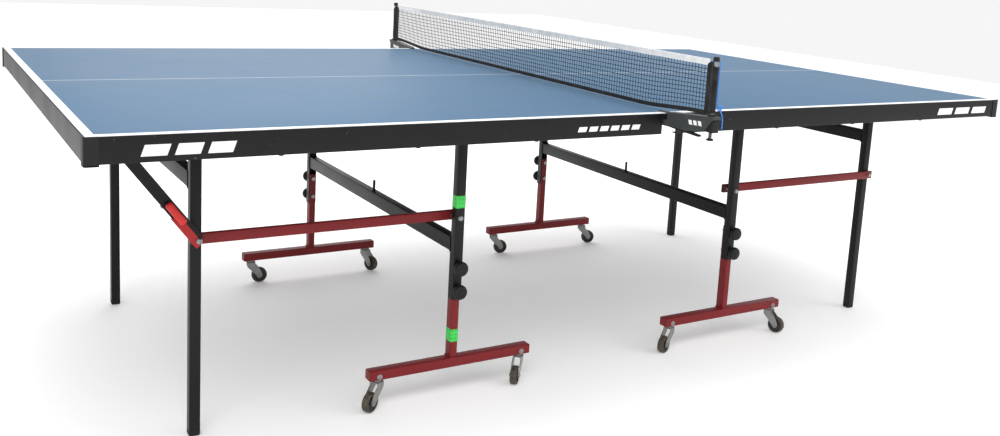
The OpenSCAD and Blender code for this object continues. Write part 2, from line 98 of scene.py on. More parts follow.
TABLE_TOP = board_high[2]
UPPER_PIVOT = joint("right_fold")
LEG_PIVOT = joint("right_legs_swing")
LINK_PIVOT = joint("right_bar_swing")
BRACE_PIVOT = joint("brace_fold")
POST_X = LINK_PIVOT[0]
LEG_X = LEG_PIVOT[0] + POST_X - UPPER_PIVOT[0]
TUBE = 2 * (leg_high[0] - LEG_X)
EAR_R = leg_high[2] - LEG_PIVOT[2]
TUBE_TOP = LEG_PIVOT[2] + 5.5
LINK_Z = LINK_PIVOT[2]
POST_OUT = post_high[1]
POST_IN = POST_OUT - TUBE
RAIL_IN = POST_IN - 23
RAIL_OUT = RAIL_IN + 12
LEG_OUT = leg_high[1]
LEG_IN = LEG_OUT - TUBE
BAR_OUT = -bar_low[1]
BAR_IN = -bar_high[1]
KNOB_Z = [joint("right_far_" + level + "_knob_turn")[2] for level in ("lower", "upper")]
NET_POST_Y = joint("far_screw_turn")[1]
FOOT_TALL = 14
CLAMP_HALF = 13.0
NET_HALF = 888.0
LEVER_PIVOT = joint("far_lever_open")


def chosen():
    """The sizes as the user has set them."""
    return bpy.context.scene.table_sizes


def length(name, default, low, high):
    """A size in millimetres that a user may change."""
    return FloatProperty(name=name, description=name, default=default, min=low, max=high)


def colour(name, *rgb):
    """A colour that a user may change."""
    return FloatVectorProperty(name=name, description=name, default=rgb, size=3, min=0, max=1,
                               subtype="COLOR")


class TableSizes(bpy.types.PropertyGroup):
    """Sizes in millimetres that the frame leaves open."""

    edge_line: length("Width of the white edge line", 20, 10, 25)
    centre_line: length("Width of the white centre line", 3, 2, 4)
    tube_corner: length("Outer corner radius of the steel tubes", 2.4, 1, 4)
    weld: length("Size of a weld bead", 1.6, 0.5, 3)
    mesh_pitch: length("Width of one net square", 11.5, 8, 15)
    strand: length("Thickness of a net strand", 1.7, 0.8, 2)
    band: length("Height of the net's lower band", 10.5, 8, 16)
    cord: length("Diameter of the tension cord", 3, 1.5, 3)
    knob_ribs: IntProperty(name="Ribs of a knob", description="Ribs round a clamping knob",
                           default=24, min=12, max=36)


class TablePaints(bpy.types.PropertyGroup):
    """Base colours of the finishes."""

    blue: colour("Playing surface", 0.045, 0.120, 0.215)
    line: colour("White lines", 0.82, 0.83, 0.84)
    black: colour("Black powder coat", 0.0050, 0.0050, 0.0052)
    red: colour("Dark red powder coat", 0.170, 0.011, 0.013)
    # The grip's finish is this red made 1.6 times lighter: one latch red split into a lit and a shaded
    # copy, a painted highlight on the grip.
    bright_red: colour("Latch red", 0.34, 0.018, 0.018)
    plastic: colour("Black plastic", 0.0075, 0.0075, 0.0080)
    zinc: colour("Zinc plating", 0.28, 0.285, 0.28)
    tread: colour("Worn tread", 0.075, 0.055, 0.036)
    clamp: colour("Clamp coating", 0.040, 0.045, 0.046)
    net: colour("Net strands", 0.0045, 0.005, 0.0065)
    cord: colour("Tension cord", 0.012, 0.200, 0.760)
    green: colour("Marking tape", 0.030, 0.560, 0.060)


# ---------------------------------------------------------------- surfaces


def rounded(width, height, corner, steps=3):
    """Closed outline of a rectangle whose corners are quarter circles, each about a centre
    that lies one corner radius inside both edges."""
    turn = np.linspace(0, math.pi / 2, steps + 1)
    corners = []
    for quarter, (sx, sy) in enumerate(((1, 1), (-1, 1), (-1, -1), (1, -1))):
        angle = turn + quarter * math.pi / 2
        corners.append(np.column_stack([sx * (width / 2 - corner) + corner * np.cos(angle),
                                        sy * (height / 2 - corner) + corner * np.sin(angle)]))
    return np.concatenate(corners)


def fillet(points, radius, steps=4):
    """Rounds a closed outline: each corner becomes a parabola from one edge to the next,
    which starts and ends one radius from the corner, or less on a short edge."""
    points = np.array(points, float)
    before, after = np.roll(points, 1, 0) - points, np.roll(points, -1, 0) - points
    near = np.linalg.norm(before, axis=1, keepdims=True)
    far = np.linalg.norm(after, axis=1, keepdims=True)
    start = points + before / near * np.minimum(radius, near * 0.45)
    end = points + after / far * np.minimum(radius, far * 0.45)
    t = np.linspace(0, 1, steps + 1)[None, :, None]
    curve = (1 - t) ** 2 * start[:, None] + 2 * t * (1 - t) * points[:, None] + t ** 2 * end[:, None]
    return curve.reshape(-1, 2)


class Shape:
    """Gathers closed surfaces and makes one mesh of them. place moves what is added, and flip
    then mirrors it."""

    def __init__(self):
        self.points, self.faces, self.marks = [], [], []
        self.count = 0
        self.flip = np.ones(3)
        self.place = None

    def add(self, points, faces, mark=None):
        """Adds points and faces. mark is a value for each point, kept as an attribute."""
        points = np.asarray(points, float).reshape(-1, 3)
        if self.place is not None:
            points = points @ np.array(self.place.to_3x3()).T + np.array(self.place.translation)
        self.points.append(points * self.flip)
        self.faces.extend([[i + self.count for i in face] for face in faces])
        self.marks.append(np.zeros(len(points)) if mark is None else np.ravel(mark))
        self.count += len(points)

    def skin(self, rings, mark=None, loop=False):
        """Joins closed rings of points one after another. The two ends get a flat face, or
        are joined to each other in a loop."""
        rows, steps = rings.shape[:2]
        index = np.arange(rows * steps).reshape(rows, steps)
        if loop:
            index = np.vstack([index, index[:1]])
        a, b = index[:-1], index[1:]
        quads = np.stack([a, np.roll(a, -1, 1), np.roll(b, -1, 1), b], -1).reshape(-1, 4).tolist()
        ends = [] if loop else [index[0, ::-1].tolist(), index[-1].tolist()]
        self.add(rings, quads + ends, mark)

    def bar(self, low, high, axis, corner=1.0, ends=(0.5, 0.5), steps=3):
        """A bar with a rounded rectangle as its section, from low to high along an axis.
        Near each end the section shrinks by radius * (1 - sin a) while it moves in by
        radius * (1 - cos a), which rounds the end."""
        low, high = np.array(low, float), np.array(high, float)
        first, second = (axis + 1) % 3, (axis + 2) % 3
        middle, size = (low + high) / 2, high - low
        angle = np.linspace(0, math.pi / 2, 4)
        stations = [(low[axis] + ends[0] * (1 - math.cos(a)), ends[0] * (1 - math.sin(a)))
                    for a in angle]
        stations += [(high[axis] - ends[1] * (1 - math.cos(a)), ends[1] * (1 - math.sin(a)))
                     for a in angle[::-1]]
        rings = np.zeros((len(stations), 4 * (steps + 1), 3))
        for ring, (station, inset) in zip(rings, stations):
            outline = rounded(size[first] - 2 * inset, size[second] - 2 * inset,
                              max(corner - inset, 0.1), steps)
            ring[:, axis] = station
            ring[:, first] = middle[first] + outline[:, 0]
            ring[:, second] = middle[second] + outline[:, 1]
        self.skin(rings)

    def plate(self, outline, axis, start, end):
        """A flat plate: an outline in the two axes after the given one, carried along it."""
        outline = np.asarray(outline, float)
        rings = np.zeros((2, len(outline), 3))
        rings[:, :, axis] = np.array([start, end])[:, None]
        rings[:, :, (axis + 1) % 3] = outline[:, 0]
        rings[:, :, (axis + 2) % 3] = outline[:, 1]
        self.skin(rings)

    def turned(self, profile, centre, axis, steps=32, ribs=None, marks=None):
        """A turned surface: radius and height pairs carried round an axis. ribs gives a
        factor on the radius for each pair and angle."""
        profile = np.array(profile, float)
        angle = np.linspace(0, 2 * math.pi, steps, endpoint=False)
        radius = np.repeat(profile[:, :1], steps, axis=1)
        if ribs is not None:
            radius = radius * ribs(angle[None, :], np.arange(len(profile))[:, None])
        axis = np.array(axis, float) / np.linalg.norm(axis)
        helper = np.array([0, 0, 1.0]) if abs(axis[2]) < 0.9 else np.array([1.0, 0, 0])
        side = np.cross(axis, helper)
        side /= np.linalg.norm(side)
        other = np.cross(axis, side)
        rings = (np.array(centre, float) + profile[:, 1, None, None] * axis
                 + (radius * np.cos(angle))[..., None] * side
                 + (radius * np.sin(angle))[..., None] * other)
        mark = None if marks is None else np.repeat(np.array(marks, float)[:, None], steps, 1)
        self.skin(rings, mark)

    def weld(self, centre, width, height, axis, size):
        """A weld bead: a small ring carried round a tube's rounded outline, with ripples
        that swell its radius as a sine of the way round."""
        corner, swell, ripple = 2.5, 0.18, 2.1
        outline = rounded(width + size, height + size, corner, 10)
        path = np.zeros((len(outline), 3))
        path[:, (axis + 1) % 3], path[:, (axis + 2) % 3] = outline[:, 0], outline[:, 1]
        path += np.array(centre, float)
        count = len(path)
        angle = np.linspace(0, 2 * math.pi, 6, endpoint=False)
        out = np.zeros((count, 3))
        out[:, (axis + 1) % 3], out[:, (axis + 2) % 3] = outline[:, 0], outline[:, 1]
        out /= np.linalg.norm(out, axis=1, keepdims=True)
        along = np.zeros(3)
        along[axis] = 1
        radius = size * (1 + swell * np.sin(np.arange(count) * ripple))
        rings = (path[:, None] + radius[:, None, None]
                 * (np.cos(angle)[None, :, None] * out[:, None] + np.sin(angle)[None, :, None] * along))
        self.skin(rings, loop=True)

    def build(self, name, body, slot, paint, replaces=(), bevel=0.0, sharp=38):
        """Makes the mesh, points its faces outwards and gives it its body and finish."""
        mesh = bpy.data.meshes.new(name)
        mesh.from_pydata((np.concatenate(self.points) * MM).tolist(), [], self.faces)
        worked = bmesh.new()
        worked.from_mesh(mesh)
        bmesh.ops.recalc_face_normals(worked, faces=worked.faces)
        worked.to_mesh(mesh)
        worked.free()
        marks = np.concatenate(self.marks)
        if marks.any():
            layer = mesh.attributes.new("mark", "FLOAT", "POINT")
            layer.data.foreach_set("value", marks.astype(np.float32))
        mesh.shade_smooth()
        mesh.set_sharp_from_angle(angle=math.radians(sharp))
        piece = bpy.data.objects.new(name, mesh)
        bpy.context.collection.objects.link(piece)
        if bevel:
            rounding = piece.modifiers.new("edges", "BEVEL")
            rounding.width = bevel * MM
            rounding.segments = 2
            rounding.limit_method = "ANGLE"
            rounding.angle_limit = math.radians(40)
            rounding.harden_normals = False
        return settle(piece, body, paint, replaces)


def settle(piece, body, paint, replaces=()):
    """Gives a piece its finish, its body and the CAD nodes it stands for."""
    piece.data.materials.clear()
    piece.data.materials.append(paint)
    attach(piece, body)
    if replaces:
        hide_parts(*replaces)
    return piece


# ---------------------------------------------------------------- finishes


class Wire:
    """A shader value that Python's operators work on. Each operator adds one Math node."""

    def __init__(self, paint, socket):
        self.paint, self.socket = paint, socket

    def math(self, operation, *values):
        return self.paint.node("ShaderNodeMath", {"operation": operation}, dict(enumerate(values)))

    def __add__(self, other): return self.math("ADD", self, other)
    def __radd__(self, other): return self.math("ADD", other, self)
    def __sub__(self, other): return self.math("SUBTRACT", self, other)
    def __rsub__(self, other): return self.math("SUBTRACT", other, self)
    def __mul__(self, other): return self.math("MULTIPLY", self, other)
    def __rmul__(self, other): return self.math("MULTIPLY", other, self)
    def __abs__(self): return self.math("ABSOLUTE", self)
    def __gt__(self, other): return self.math("GREATER_THAN", self, other)

    def sine(self):
        return self.math("SINE", self)

    def larger(self, other):
        return self.math("MAXIMUM", self, other)

    def over(self, edge, blur):
        """0 below the edge and 1 above it, with a straight ramp as wide as the blur."""
        ramp = {"clamp": True}
        ends = {"Value": self, "From Min": edge - blur / 2, "From Max": edge + blur / 2}
        return self.paint.node("ShaderNodeMapRange", ramp, ends, "Result")


class Paint:
    """A material that is being put together round its Principled shader."""

    def __init__(self, name, rough, metal=0.0, **constants):
        self.material = bpy.data.materials.new(name)
        self.material.use_nodes = True
        self.tree = self.material.node_tree
        self.shader = self.tree.nodes["Principled BSDF"]
        self.shader.inputs["Roughness"].default_value = rough
        self.shader.inputs["Metallic"].default_value = metal
        for key, value in constants.items():
            self.shader.inputs[key.replace("_", " ")].default_value = value

    def node(self, kind, settings=None, sockets=None, out=0):
        """Any other node: its settings first, then the values or wires of its sockets."""
        made = self.tree.nodes.new(kind)
        for key, value in (settings or {}).items():
            setattr(made, key, value)
        for key, value in (sockets or {}).items():
            self.set(made.inputs[key], value)
        return Wire(self, made.outputs[out])

    def set(self, socket, value):
        """Feeds a socket with a wire, or sets its number or colour."""
        if isinstance(value, Wire):
            self.tree.links.new(value.socket, socket)
        elif hasattr(socket.default_value, "__len__") and len(socket.default_value) == 4:
            socket.default_value = (*value, 1.0)
        else:
            socket.default_value = value

    def feed(self, **wires):
        """Feeds sockets of the shader by name."""
        for key, value in wires.items():
            self.set(self.shader.inputs[key.replace("_", " ")], value)

    def axes(self):
        """The object's own x, y and z in millimetres."""
        where = self.node("ShaderNodeTexCoord", out="Object")
        split = self.node("ShaderNodeSeparateXYZ", None, {0: where})
        outs = split.socket.node.outputs
        return [Wire(self, outs[i]) * (1 / MM) for i in range(3)]

    def noise(self, scale, detail=3.0, stretch=None):
        """Noise from 0 to 1 over the object, with stretch as a factor on each axis."""
        where = self.node("ShaderNodeTexCoord", out="Object")
        if stretch:
            where = self.node("ShaderNodeMapping", None, {0: where, "Scale": stretch})
        return self.node("ShaderNodeTexNoise", None,
                         {"Vector": where, "Scale": scale, "Detail": detail})

    def mix(self, factor, first, second):
        """One colour turning into another."""
        made = self.tree.nodes.new("ShaderNodeMix")
        made.data_type = "RGBA"
        for key, value in ((0, factor), (6, first), (7, second)):
            self.set(made.inputs[key], value)
        return Wire(self, made.outputs[2])

    def bump(self, height, strength, distance):
        """Small relief that tilts the surface's normal."""
        relief = self.node("ShaderNodeBump", None,
                           {"Height": height, "Strength": strength, "Distance": distance})
        self.feed(Normal=relief)


def shade(rgb, factor):
    """A colour made lighter or darker."""
    return tuple(min(1.0, c * factor) for c in rgb)


def board_paint(paints, sizes):
    """Matt blue on the top face with white edge lines and a thin centre line; a black edge.
    The edge lines start a rim's width outside the board."""
    paint = Paint("board paint", 0.5, Specular_IOR_Level=0.14)
    x, y, z = paint.axes()
    rim = 2.2
    side = abs(y).over(board_high[1] + rim - sizes.edge_line, 0.8)
    end = abs(x).over(board_high[0] + rim - sizes.edge_line, 0.8)
    centre = 1 - abs(y).over(sizes.centre_line / 2, 0.8)
    line = side.larger(end).larger(centre)
    cloud = paint.noise(2.2, 4.0)
    grain = paint.noise(900.0, 2.0)
    scuff = paint.noise(14.0, 6.0, (1.0, 2.6, 1.0)).over(0.66, 0.10) * paint.noise(160.0, 3.0)
    blue = paint.mix(cloud, shade(paints.blue, 0.94), shade(paints.blue, 1.07))
    blue = paint.mix(scuff * 0.30, blue, shade(paints.blue, 1.9))
    white = paint.mix(paint.noise(60.0, 5.0) * 0.25, paints.line, shade(paints.line, 0.80))
    top = z.over(TABLE_TOP - 1.2, 0.6)
    paint.feed(Base_Color=paint.mix(top, (0.012, 0.012, 0.014), paint.mix(line, blue, white)),
               Roughness=0.40 + cloud * 0.10 + scuff * 0.15 + line * 0.04)
    paint.bump(grain, 0.10, 0.0004)
    return paint.material


def coated(name, rgb, rough, peel=0.16, chips=0.25, chip_rgb=(0.30, 0.29, 0.28), bars=(),
           along_axis=0):
    """Powder coat: a slight orange peel, patchy gloss, dust and a few small chips. bars are
    plain white marks, each given as its middle along the chosen axis, its middle z, half its
    length and half its height."""
    paint = Paint(name, rough, Specular_IOR_Level=0.22)
    patch = paint.noise(9.0, 5.0)
    peel_relief = paint.noise(620.0, 2.0)
    speck = paint.noise(150.0, 4.0).over(0.735, 0.03)
    base = paint.mix(patch, shade(rgb, 0.78), shade(rgb, 1.28))
    base = paint.mix(speck * chips, base, chip_rgb)
    if bars:
        white, slant, blur = (0.80, 0.80, 0.78), 0.35, 0.8
        axes = paint.axes()
        x, z = axes[along_axis], axes[2]
        marks = None
        for middle_x, middle_z, half_long, half_high in bars:
            along = 1 - abs(x - middle_x - (z - middle_z) * slant).over(half_long, blur)
            mark = along * (1 - abs(z - middle_z).over(half_high, blur))
            marks = mark if marks is None else marks.larger(mark)
        base = paint.mix(marks, base, white)
    paint.feed(Base_Color=base, Roughness=rough - 0.07 + patch * 0.16 + speck * 0.2)
    paint.bump(peel_relief, peel, 0.0003)
    return paint.material


def moulded(name, rgb, rough=0.5, grain=380.0):
    """Moulded plastic: fine spark-eroded grain and a slightly uneven gloss."""
    paint = Paint(name, rough, Specular_IOR_Level=0.25)
    patch = paint.noise(24.0, 3.0)
    paint.feed(Base_Color=paint.mix(patch, shade(rgb, 0.8), shade(rgb, 1.4)),
               Roughness=rough - 0.06 + patch * 0.14)
    paint.bump(paint.noise(grain, 2.0), 0.22, 0.0002)
    return paint.material


def zinc_plate(paints):
    """Zinc plating: pale metal with cloudy crystals, dull patches and fine drawn lines."""
    paint = Paint("zinc", 0.34, 0.9)
    cloud = paint.noise(55.0, 5.0)
    dull = paint.noise(12.0, 4.0).over(0.52, 0.22)
    fine = paint.noise(1500.0, 1.0, (1.0, 1.0, 0.06))
    base = paint.mix(cloud, shade(paints.zinc, 0.74), shade(paints.zinc, 1.2))
    paint.feed(Base_Color=paint.mix(dull * 0.35, base, (0.30, 0.28, 0.24)),
               Roughness=0.26 + cloud * 0.16 + dull * 0.14)
    paint.bump(fine, 0.10, 0.0002)
    return paint.material


def wheel_finish(paints):
    """Black moulded wheel whose tread, marked on the mesh, is worn to a dusty brown."""
    paint = Paint("wheel", 0.55)
    mark = paint.node("ShaderNodeAttribute", {"attribute_name": "mark"}, out="Fac")
    dirt = paint.noise(120.0, 6.0)
    dust = mark * dirt.over(0.44, 0.22)
    base = paint.mix(dust, (0.020, 0.019, 0.018), paints.tread)
    paint.feed(Base_Color=paint.mix(dirt.over(0.62, 0.1) * 0.12, base, (0.22, 0.19, 0.15)),
               Roughness=0.48 + dust * 0.34)
    paint.bump(dirt, 0.35, 0.0006)
    return paint.material


def woven(name, rgb, pitch, rough=0.8, dirt=0.12, relief=0.5):
    """Woven band: two crossed waves a thread pitch apart make the weave, with slight soil."""
    paint = Paint(name, rough, Sheen_Weight=0.06, Sheen_Roughness=0.5, Specular_IOR_Level=0.2)
    x, y, z = paint.axes()
    turn = 2 * math.pi / pitch
    weave = 0.5 + (y * turn).sine() * ((z + x) * turn).sine() * 0.5
    soil = paint.noise(35.0, 5.0).over(0.5, 0.4)
    base = paint.mix(weave, shade(rgb, 0.80), shade(rgb, 1.08))
    paint.feed(Base_Color=paint.mix(soil * dirt, base, (0.20, 0.19, 0.17)),
               Roughness=rough - 0.06 + weave * 0.1)
    paint.bump(weave, relief, 0.0004)
    return paint.material


def marking_tape(paints):
    """Bright green tape printed with plain darker dashes in rows."""
    paint = Paint("marking tape", 0.42, Specular_IOR_Level=0.5)
    x, y, z = paint.axes()
    across = x + y
    dash = (across * 0.75).sine() > 0.35
    row = (z * 0.62).sine() > 0.1
    crease = paint.noise(90.0, 4.0)
    base = paint.mix(crease, shade(paints.green, 0.82), shade(paints.green, 1.25))
    paint.feed(Base_Color=paint.mix(dash * row * 0.75, base, (0.02, 0.20, 0.06)),
               Roughness=0.34 + crease * 0.2)
    paint.bump(crease, 0.4, 0.0004)
    return paint.material


def braid(paints):
    """Braided cord: two sets of strands that wind opposite ways as they rise."""
    paint = Paint("braided cord", 0.6, Sheen_Weight=0.2)
    x, y, z = paint.axes()
    lean = (x + y) * 3.2
    rise = z * 3.6
    strands = 0.5 + (rise + lean).sine() * (rise - lean).sine() * 0.5
    paint.feed(Base_Color=paint.mix(strands, shade(paints.cord, 0.55), shade(paints.cord, 1.5)),
               Roughness=0.55 + strands * 0.15)
    paint.bump(strands, 0.6, 0.0003)
    return paint.material


# The finishes by name, which mix_finishes fills.
finishes = {}


def mix_finishes(context):
    """Makes every finish once, from the user's colours."""
    paints, sizes = context.scene.table_paints, context.scene.table_sizes
    side_z = TABLE_TOP - 31
    three, six = (-1, 0, 1), (-2.5, -1.5, -0.5, 0.5, 1.5, 2.5)
    profile_bars = [(-1182 + k * 62, side_z, 24, 11) for k in three]
    profile_bars += [(1189 + k * 84, side_z, 34, 10) for k in three]
    profile_bars += [(-187 + k * 32, side_z - 1, 12, 6) for k in six]
    clamp_bars = [(row * (872 + k * 17), 753.5 + k * 1.2, 6, 5.5)
                  for row in (-1, 1) for k in three]
    finishes.update({
        "board": board_paint(paints, sizes),
        "profile": coated("edge profile coat", paints.black, 0.42, bars=profile_bars),
        "black": coated("black coat", paints.black, 0.40),
        "red": coated("red coat", paints.red, 0.42, chips=0.35, chip_rgb=(0.07, 0.05, 0.05)),
        "bright_red": coated("latch coat", paints.bright_red, 0.34, chips=0.3),
        "plastic": moulded("black plastic", paints.plastic),
        # Painted highlight: the grip is the latch red made 1.6 times lighter, a lit copy of the
        # sleeve's red, which keeps the darker copy.
        "grip": moulded("grip plastic painted highlight", shade(paints.bright_red, 1.6), 0.38),
        "zinc": zinc_plate(paints),
        "wheel": wheel_finish(paints),
        "clamp": coated("clamp coat", paints.clamp, 0.45, peel=0.3, chips=0.8, bars=clamp_bars,
                        along_axis=1),
        "rubber": moulded("rubber", shade(paints.plastic, 1.2), 0.7),
        "net": woven("net thread", paints.net, 0.7, 0.85, 0.05),
        "band": woven("black band", paints.net, 1.2, 0.85, 0.10),
        "tape": woven("white tape", paints.line, 1.4, 0.75, 0.22),
        "marking": marking_tape(paints),
        "braid": braid(paints),
    })


# ---------------------------------------------------------------- pieces


def mirrored(shape, side, row=1):
    """What is added next lies on that side of the net and in that row."""
    shape.flip = np.array([side, row, 1.0])


def make_board(side, name):
    """A board: a slab with eased edges and small corner radii."""
    shape = Shape()
    mirrored(shape, side)
    shape.bar(board_low, board_high, 2, corner=3, ends=(0.5, 0.9))
    return shape.build(name + "_table_board", name + "_top", "board_blue", finishes["board"],
                       [name + "_board"])


def make_edge_profiles(side, name):
    """Steel profiles round a board's edge: a channel section, its corners bent on a small
    radius, carried along each side and across the end."""
    shape = Shape()
    out_x, out_y, low, high = profile_high[0], profile_high[1], profile_low[2], profile_high[2]
    sheet, flange, under_board = 2.0, 18.5, board_low[2]

    def section(out):
        bends = [(out, low), (out, high), (out - sheet, high), (out - sheet, under_board),
                 (out - flange, under_board), (out - flange, under_board - sheet),
                 (out - sheet, under_board - sheet), (out - sheet, low + sheet),
                 (out - flange, low + sheet), (out - flange, low)]
        return fillet(bends, 2.2, 3)

    for row in (-1, 1):
        mirrored(shape, side, row)
        shape.plate(section(out_y), 0, profile_low[0], out_x - sheet - 0.1)
    mirrored(shape, side)
    shape.plate(section(out_x)[:, ::-1], 1, -out_y + flange + 2, out_y - flange - 2)
    for row in (-1, 1):
        mirrored(shape, side, row)
        shape.bar((out_x - sheet, out_y - flange - 1.7, low), (out_x, out_y, high), 1, 0.9,
                  (0.6, 0.6))
    return shape.build(name + "_edge_profiles_coated", name + "_top", "steel_black",
                       finishes["profile"], [name + "_edge_profiles"], sharp=50)


def make_corner_caps(side, name):
    """Corner caps: a bent wall round each outer corner with a floor under it, and the round
    buttons along the underside of the profiles."""
    shape = Shape()
    low, high = cap_low, cap_high
    wall, radius, reach, floor_thick = 1.4, 6.0, 27.5, 3.4
    button_x = (390, 695, 1000)
    start_x, start_y = high[0] - reach, high[1] - reach
    turn = np.linspace(0, math.pi / 2, 7)
    for row in (-1, 1):
        mirrored(shape, side, row)

        def bend(inset):
            r = radius - inset
            centre = np.array([high[0] - radius, high[1] - radius])
            return centre + r * np.column_stack([np.cos(turn), np.sin(turn)])

        outer = np.vstack([[high[0], start_y], bend(0), [start_x, high[1]]])
        inner = np.vstack([[start_x, high[1] - wall], bend(wall)[::-1], [high[0] - wall, start_y]])
        shape.plate(np.vstack([outer, inner]), 2, low[2], high[2])
        floor = np.vstack([outer, [start_x, start_y]])
        shape.plate(floor, 2, low[2], low[2] + floor_thick)
        for x in button_x:
            shape.turned([(0.2, -0.3), (4.2, 0), (6, 1.0), (6, 3.0), (0.2, 3.0)],
                         (x, 751.5, low[2] + 0.4), (0, 0, 1), 20)
    return shape.build(name + "_corner_caps_moulded", name + "_top", "plastic_black",
                       finishes["plastic"], [name + "_corner_caps"], bevel=0.5)


def make_rails(side, name):
    """Rails and cross rails under a board: tubes with rounded edges, and a weld where each
    rail meets the outer cross rail."""
    sizes = chosen()
    shape = Shape()
    corner = sizes.tube_corner
    low_z, high_z = UPPER_PIVOT[2] - 16, UPPER_PIVOT[2] + 12
    cross_x, side_y = board_high[0] - 47.8, rail_high[1]
    rail_start, side_rail_x, inner_x, inner_half = 200, 500, 28, 490
    for row in (-1, 1):
        mirrored(shape, side, row)
        shape.bar((rail_start, RAIL_IN, low_z), (cross_x - 0.1, RAIL_OUT, high_z), 0, corner,
                  (1, 0.3))
        shape.bar((side_rail_x, RAIL_OUT + 0.1, low_z), (side_rail_x + 25, side_y, high_z - 0.1),
                  1, corner, (0.3, 0.3))
        shape.weld((cross_x - 1, (RAIL_IN + RAIL_OUT) / 2, (low_z + high_z) / 2), 12, 28, 0,
                   sizes.weld)
    mirrored(shape, side)
    shape.bar((cross_x, -side_y, low_z), (cross_x + 25, side_y, high_z), 1, corner, (0.3, 0.3))
    shape.bar((inner_x, -inner_half, rail_high[2] - 23.9), (inner_x + 22, inner_half, rail_high[2]),
              1, corner, (1, 1))
    return shape.build(name + "_rails_coated", name + "_top", "steel_black", finishes["black"],
                       [name + "_rails"])


def add_ear(shape, x, low_y, high_y):
    """An ear at the top of a tube: straight sides that end in an arc about the upper pivot."""
    pivot_x, pivot_z = x - POST_X + UPPER_PIVOT[0], UPPER_PIVOT[2]
    rise = TUBE_TOP - pivot_z
    arc = np.linspace(math.asin(rise / EAR_R), 1.5 * math.pi, 16)
    face = x - TUBE / 2 - 0.1
    outline = [(TUBE_TOP, face)]
    outline += [(pivot_z + EAR_R * math.sin(a), pivot_x + EAR_R * math.cos(a)) for a in arc]
    outline.append((pivot_z - EAR_R, face))
    shape.plate(outline, 1, low_y, high_y)


def make_posts(side, name):
    """The inner posts: a closed tube above and a channel open inwards below, with ears, the
    cross beam, its upright peg and the welds."""
    sizes = chosen()
    shape = Shape()
    corner = sizes.tube_corner
    low_x, high_x = POST_X - TUBE / 2, POST_X + TUBE / 2
    beam_low, beam_high, wall = 381, 419, 2.0
    half = TUBE / 2
    for row in (-1, 1):
        mirrored(shape, side, row)
        shape.bar((low_x, POST_IN, beam_low - 1), (high_x, POST_OUT, TUBE_TOP), 2, corner,
                  (0.2, 0.6))
        turn = np.linspace(0, math.pi / 2, 4)
        right = np.column_stack([half - corner + corner * np.cos(turn),
                                 half - corner + corner * np.sin(turn)])
        left = right[::-1] * (-1, 1)
        channel = np.vstack([[half, -half], right, left, [-half, -half], [-half + wall, -half],
                             [-half + wall, half - wall], [half - wall, half - wall],
                             [half - wall, -half]])
        channel += (POST_X, (POST_IN + POST_OUT) / 2)
        shape.plate(channel, 2, post_low[2], beam_low - 1)
        add_ear(shape, POST_X, POST_IN, POST_OUT)
        shape.weld((POST_X, POST_IN - 0.6, (beam_low + beam_high) / 2), beam_high - beam_low, TUBE, 1,
                   sizes.weld)
    mirrored(shape, side)
    shape.bar((low_x, -POST_IN + 0.1, beam_low), (high_x, POST_IN - 0.1, beam_high), 1, corner,
              (0.2, 0.2))
    shape.turned([(0.2, 0), (5.2, 0), (5.2, 1.2), (4, 1.8), (4, 29), (3.2, 31.2), (0.2, 32)],
                 (POST_X, 0, beam_high), (0, 0, 1), 20)
    return shape.build(name + "_posts_coated", name + "_frame", "steel_black", finishes["black"],
                       [name + "_posts"], bevel=0.3)


def make_legs(side, name):
    """The outer legs with their ears, cross beam and welds."""
    sizes = chosen()
    shape = Shape()
    corner = sizes.tube_corner
    low_x, high_x = LEG_X - TUBE / 2, LEG_X + TUBE / 2
    beam_low, beam_high = 580, 618
    for row in (-1, 1):
        mirrored(shape, side, row)
        shape.bar((low_x, LEG_IN, FOOT_TALL + 0.05), (high_x, LEG_OUT, TUBE_TOP), 2, corner,
                  (0.4, 0.6))
        add_ear(shape, LEG_X, LEG_IN, LEG_OUT)
        shape.weld((LEG_X, LEG_IN - 0.6, (beam_low + beam_high) / 2), beam_high - beam_low, TUBE, 1,
                   sizes.weld)
    mirrored(shape, side)
    shape.bar((low_x, -LEG_IN + 0.1, beam_low), (high_x, LEG_IN - 0.1, beam_high), 1, corner,
              (0.2, 0.2))
    return shape.build(name + "_legs_coated", name + "_legs", "steel_black", finishes["black"],
                       [name + "_legs"], bevel=0.3)


def make_feet(side, name):
    """Foot plugs: a collar as wide as the tube, well rounded towards the floor."""
    shape = Shape()
    for row in (-1, 1):
        mirrored(shape, side, row)
        shape.bar((LEG_X - TUBE / 2, LEG_IN, 0), (LEG_X + TUBE / 2, LEG_OUT, FOOT_TALL), 2, 2.6,
                  (4.4, 0.5), 4)
    return shape.build(name + "_foot_plugs", name + "_legs", "plastic_black", finishes["rubber"],
                       [name + "_feet"])


def make_link_bar(side, name):
    """The red bar from post to leg on the near side: a flat tube with plugged ends."""
    sizes = chosen()
    shape = Shape()
    mirrored(shape, side, -1)
    low = np.array([bar_low[0], BAR_IN, bar_low[2]])
    high = np.array([bar_high[0], BAR_OUT, bar_high[2]])
    shape.bar(low + (1.2, 0, 0), high - (1.2, 0, 0), 0, sizes.tube_corner, (0.3, 0.3))
    plugs = Shape()
    mirrored(plugs, side, -1)
    for start, end in ((low[0], low[0] + 1.3), (high[0] - 1.3, high[0])):
        plugs.bar((start, low[1] + 0.6, low[2] + 0.6), (end, high[1] - 0.6, high[2] - 0.6), 0,
                  2.0, (0.5, 0.5))
    plugs.build(name + "_bar_plugs", name + "_bar", "plastic_black", finishes["plastic"])
    return shape.build(name + "_bar_coated", name + "_bar", "steel_red", finishes["red"],
                       [name + "_link_bar"])


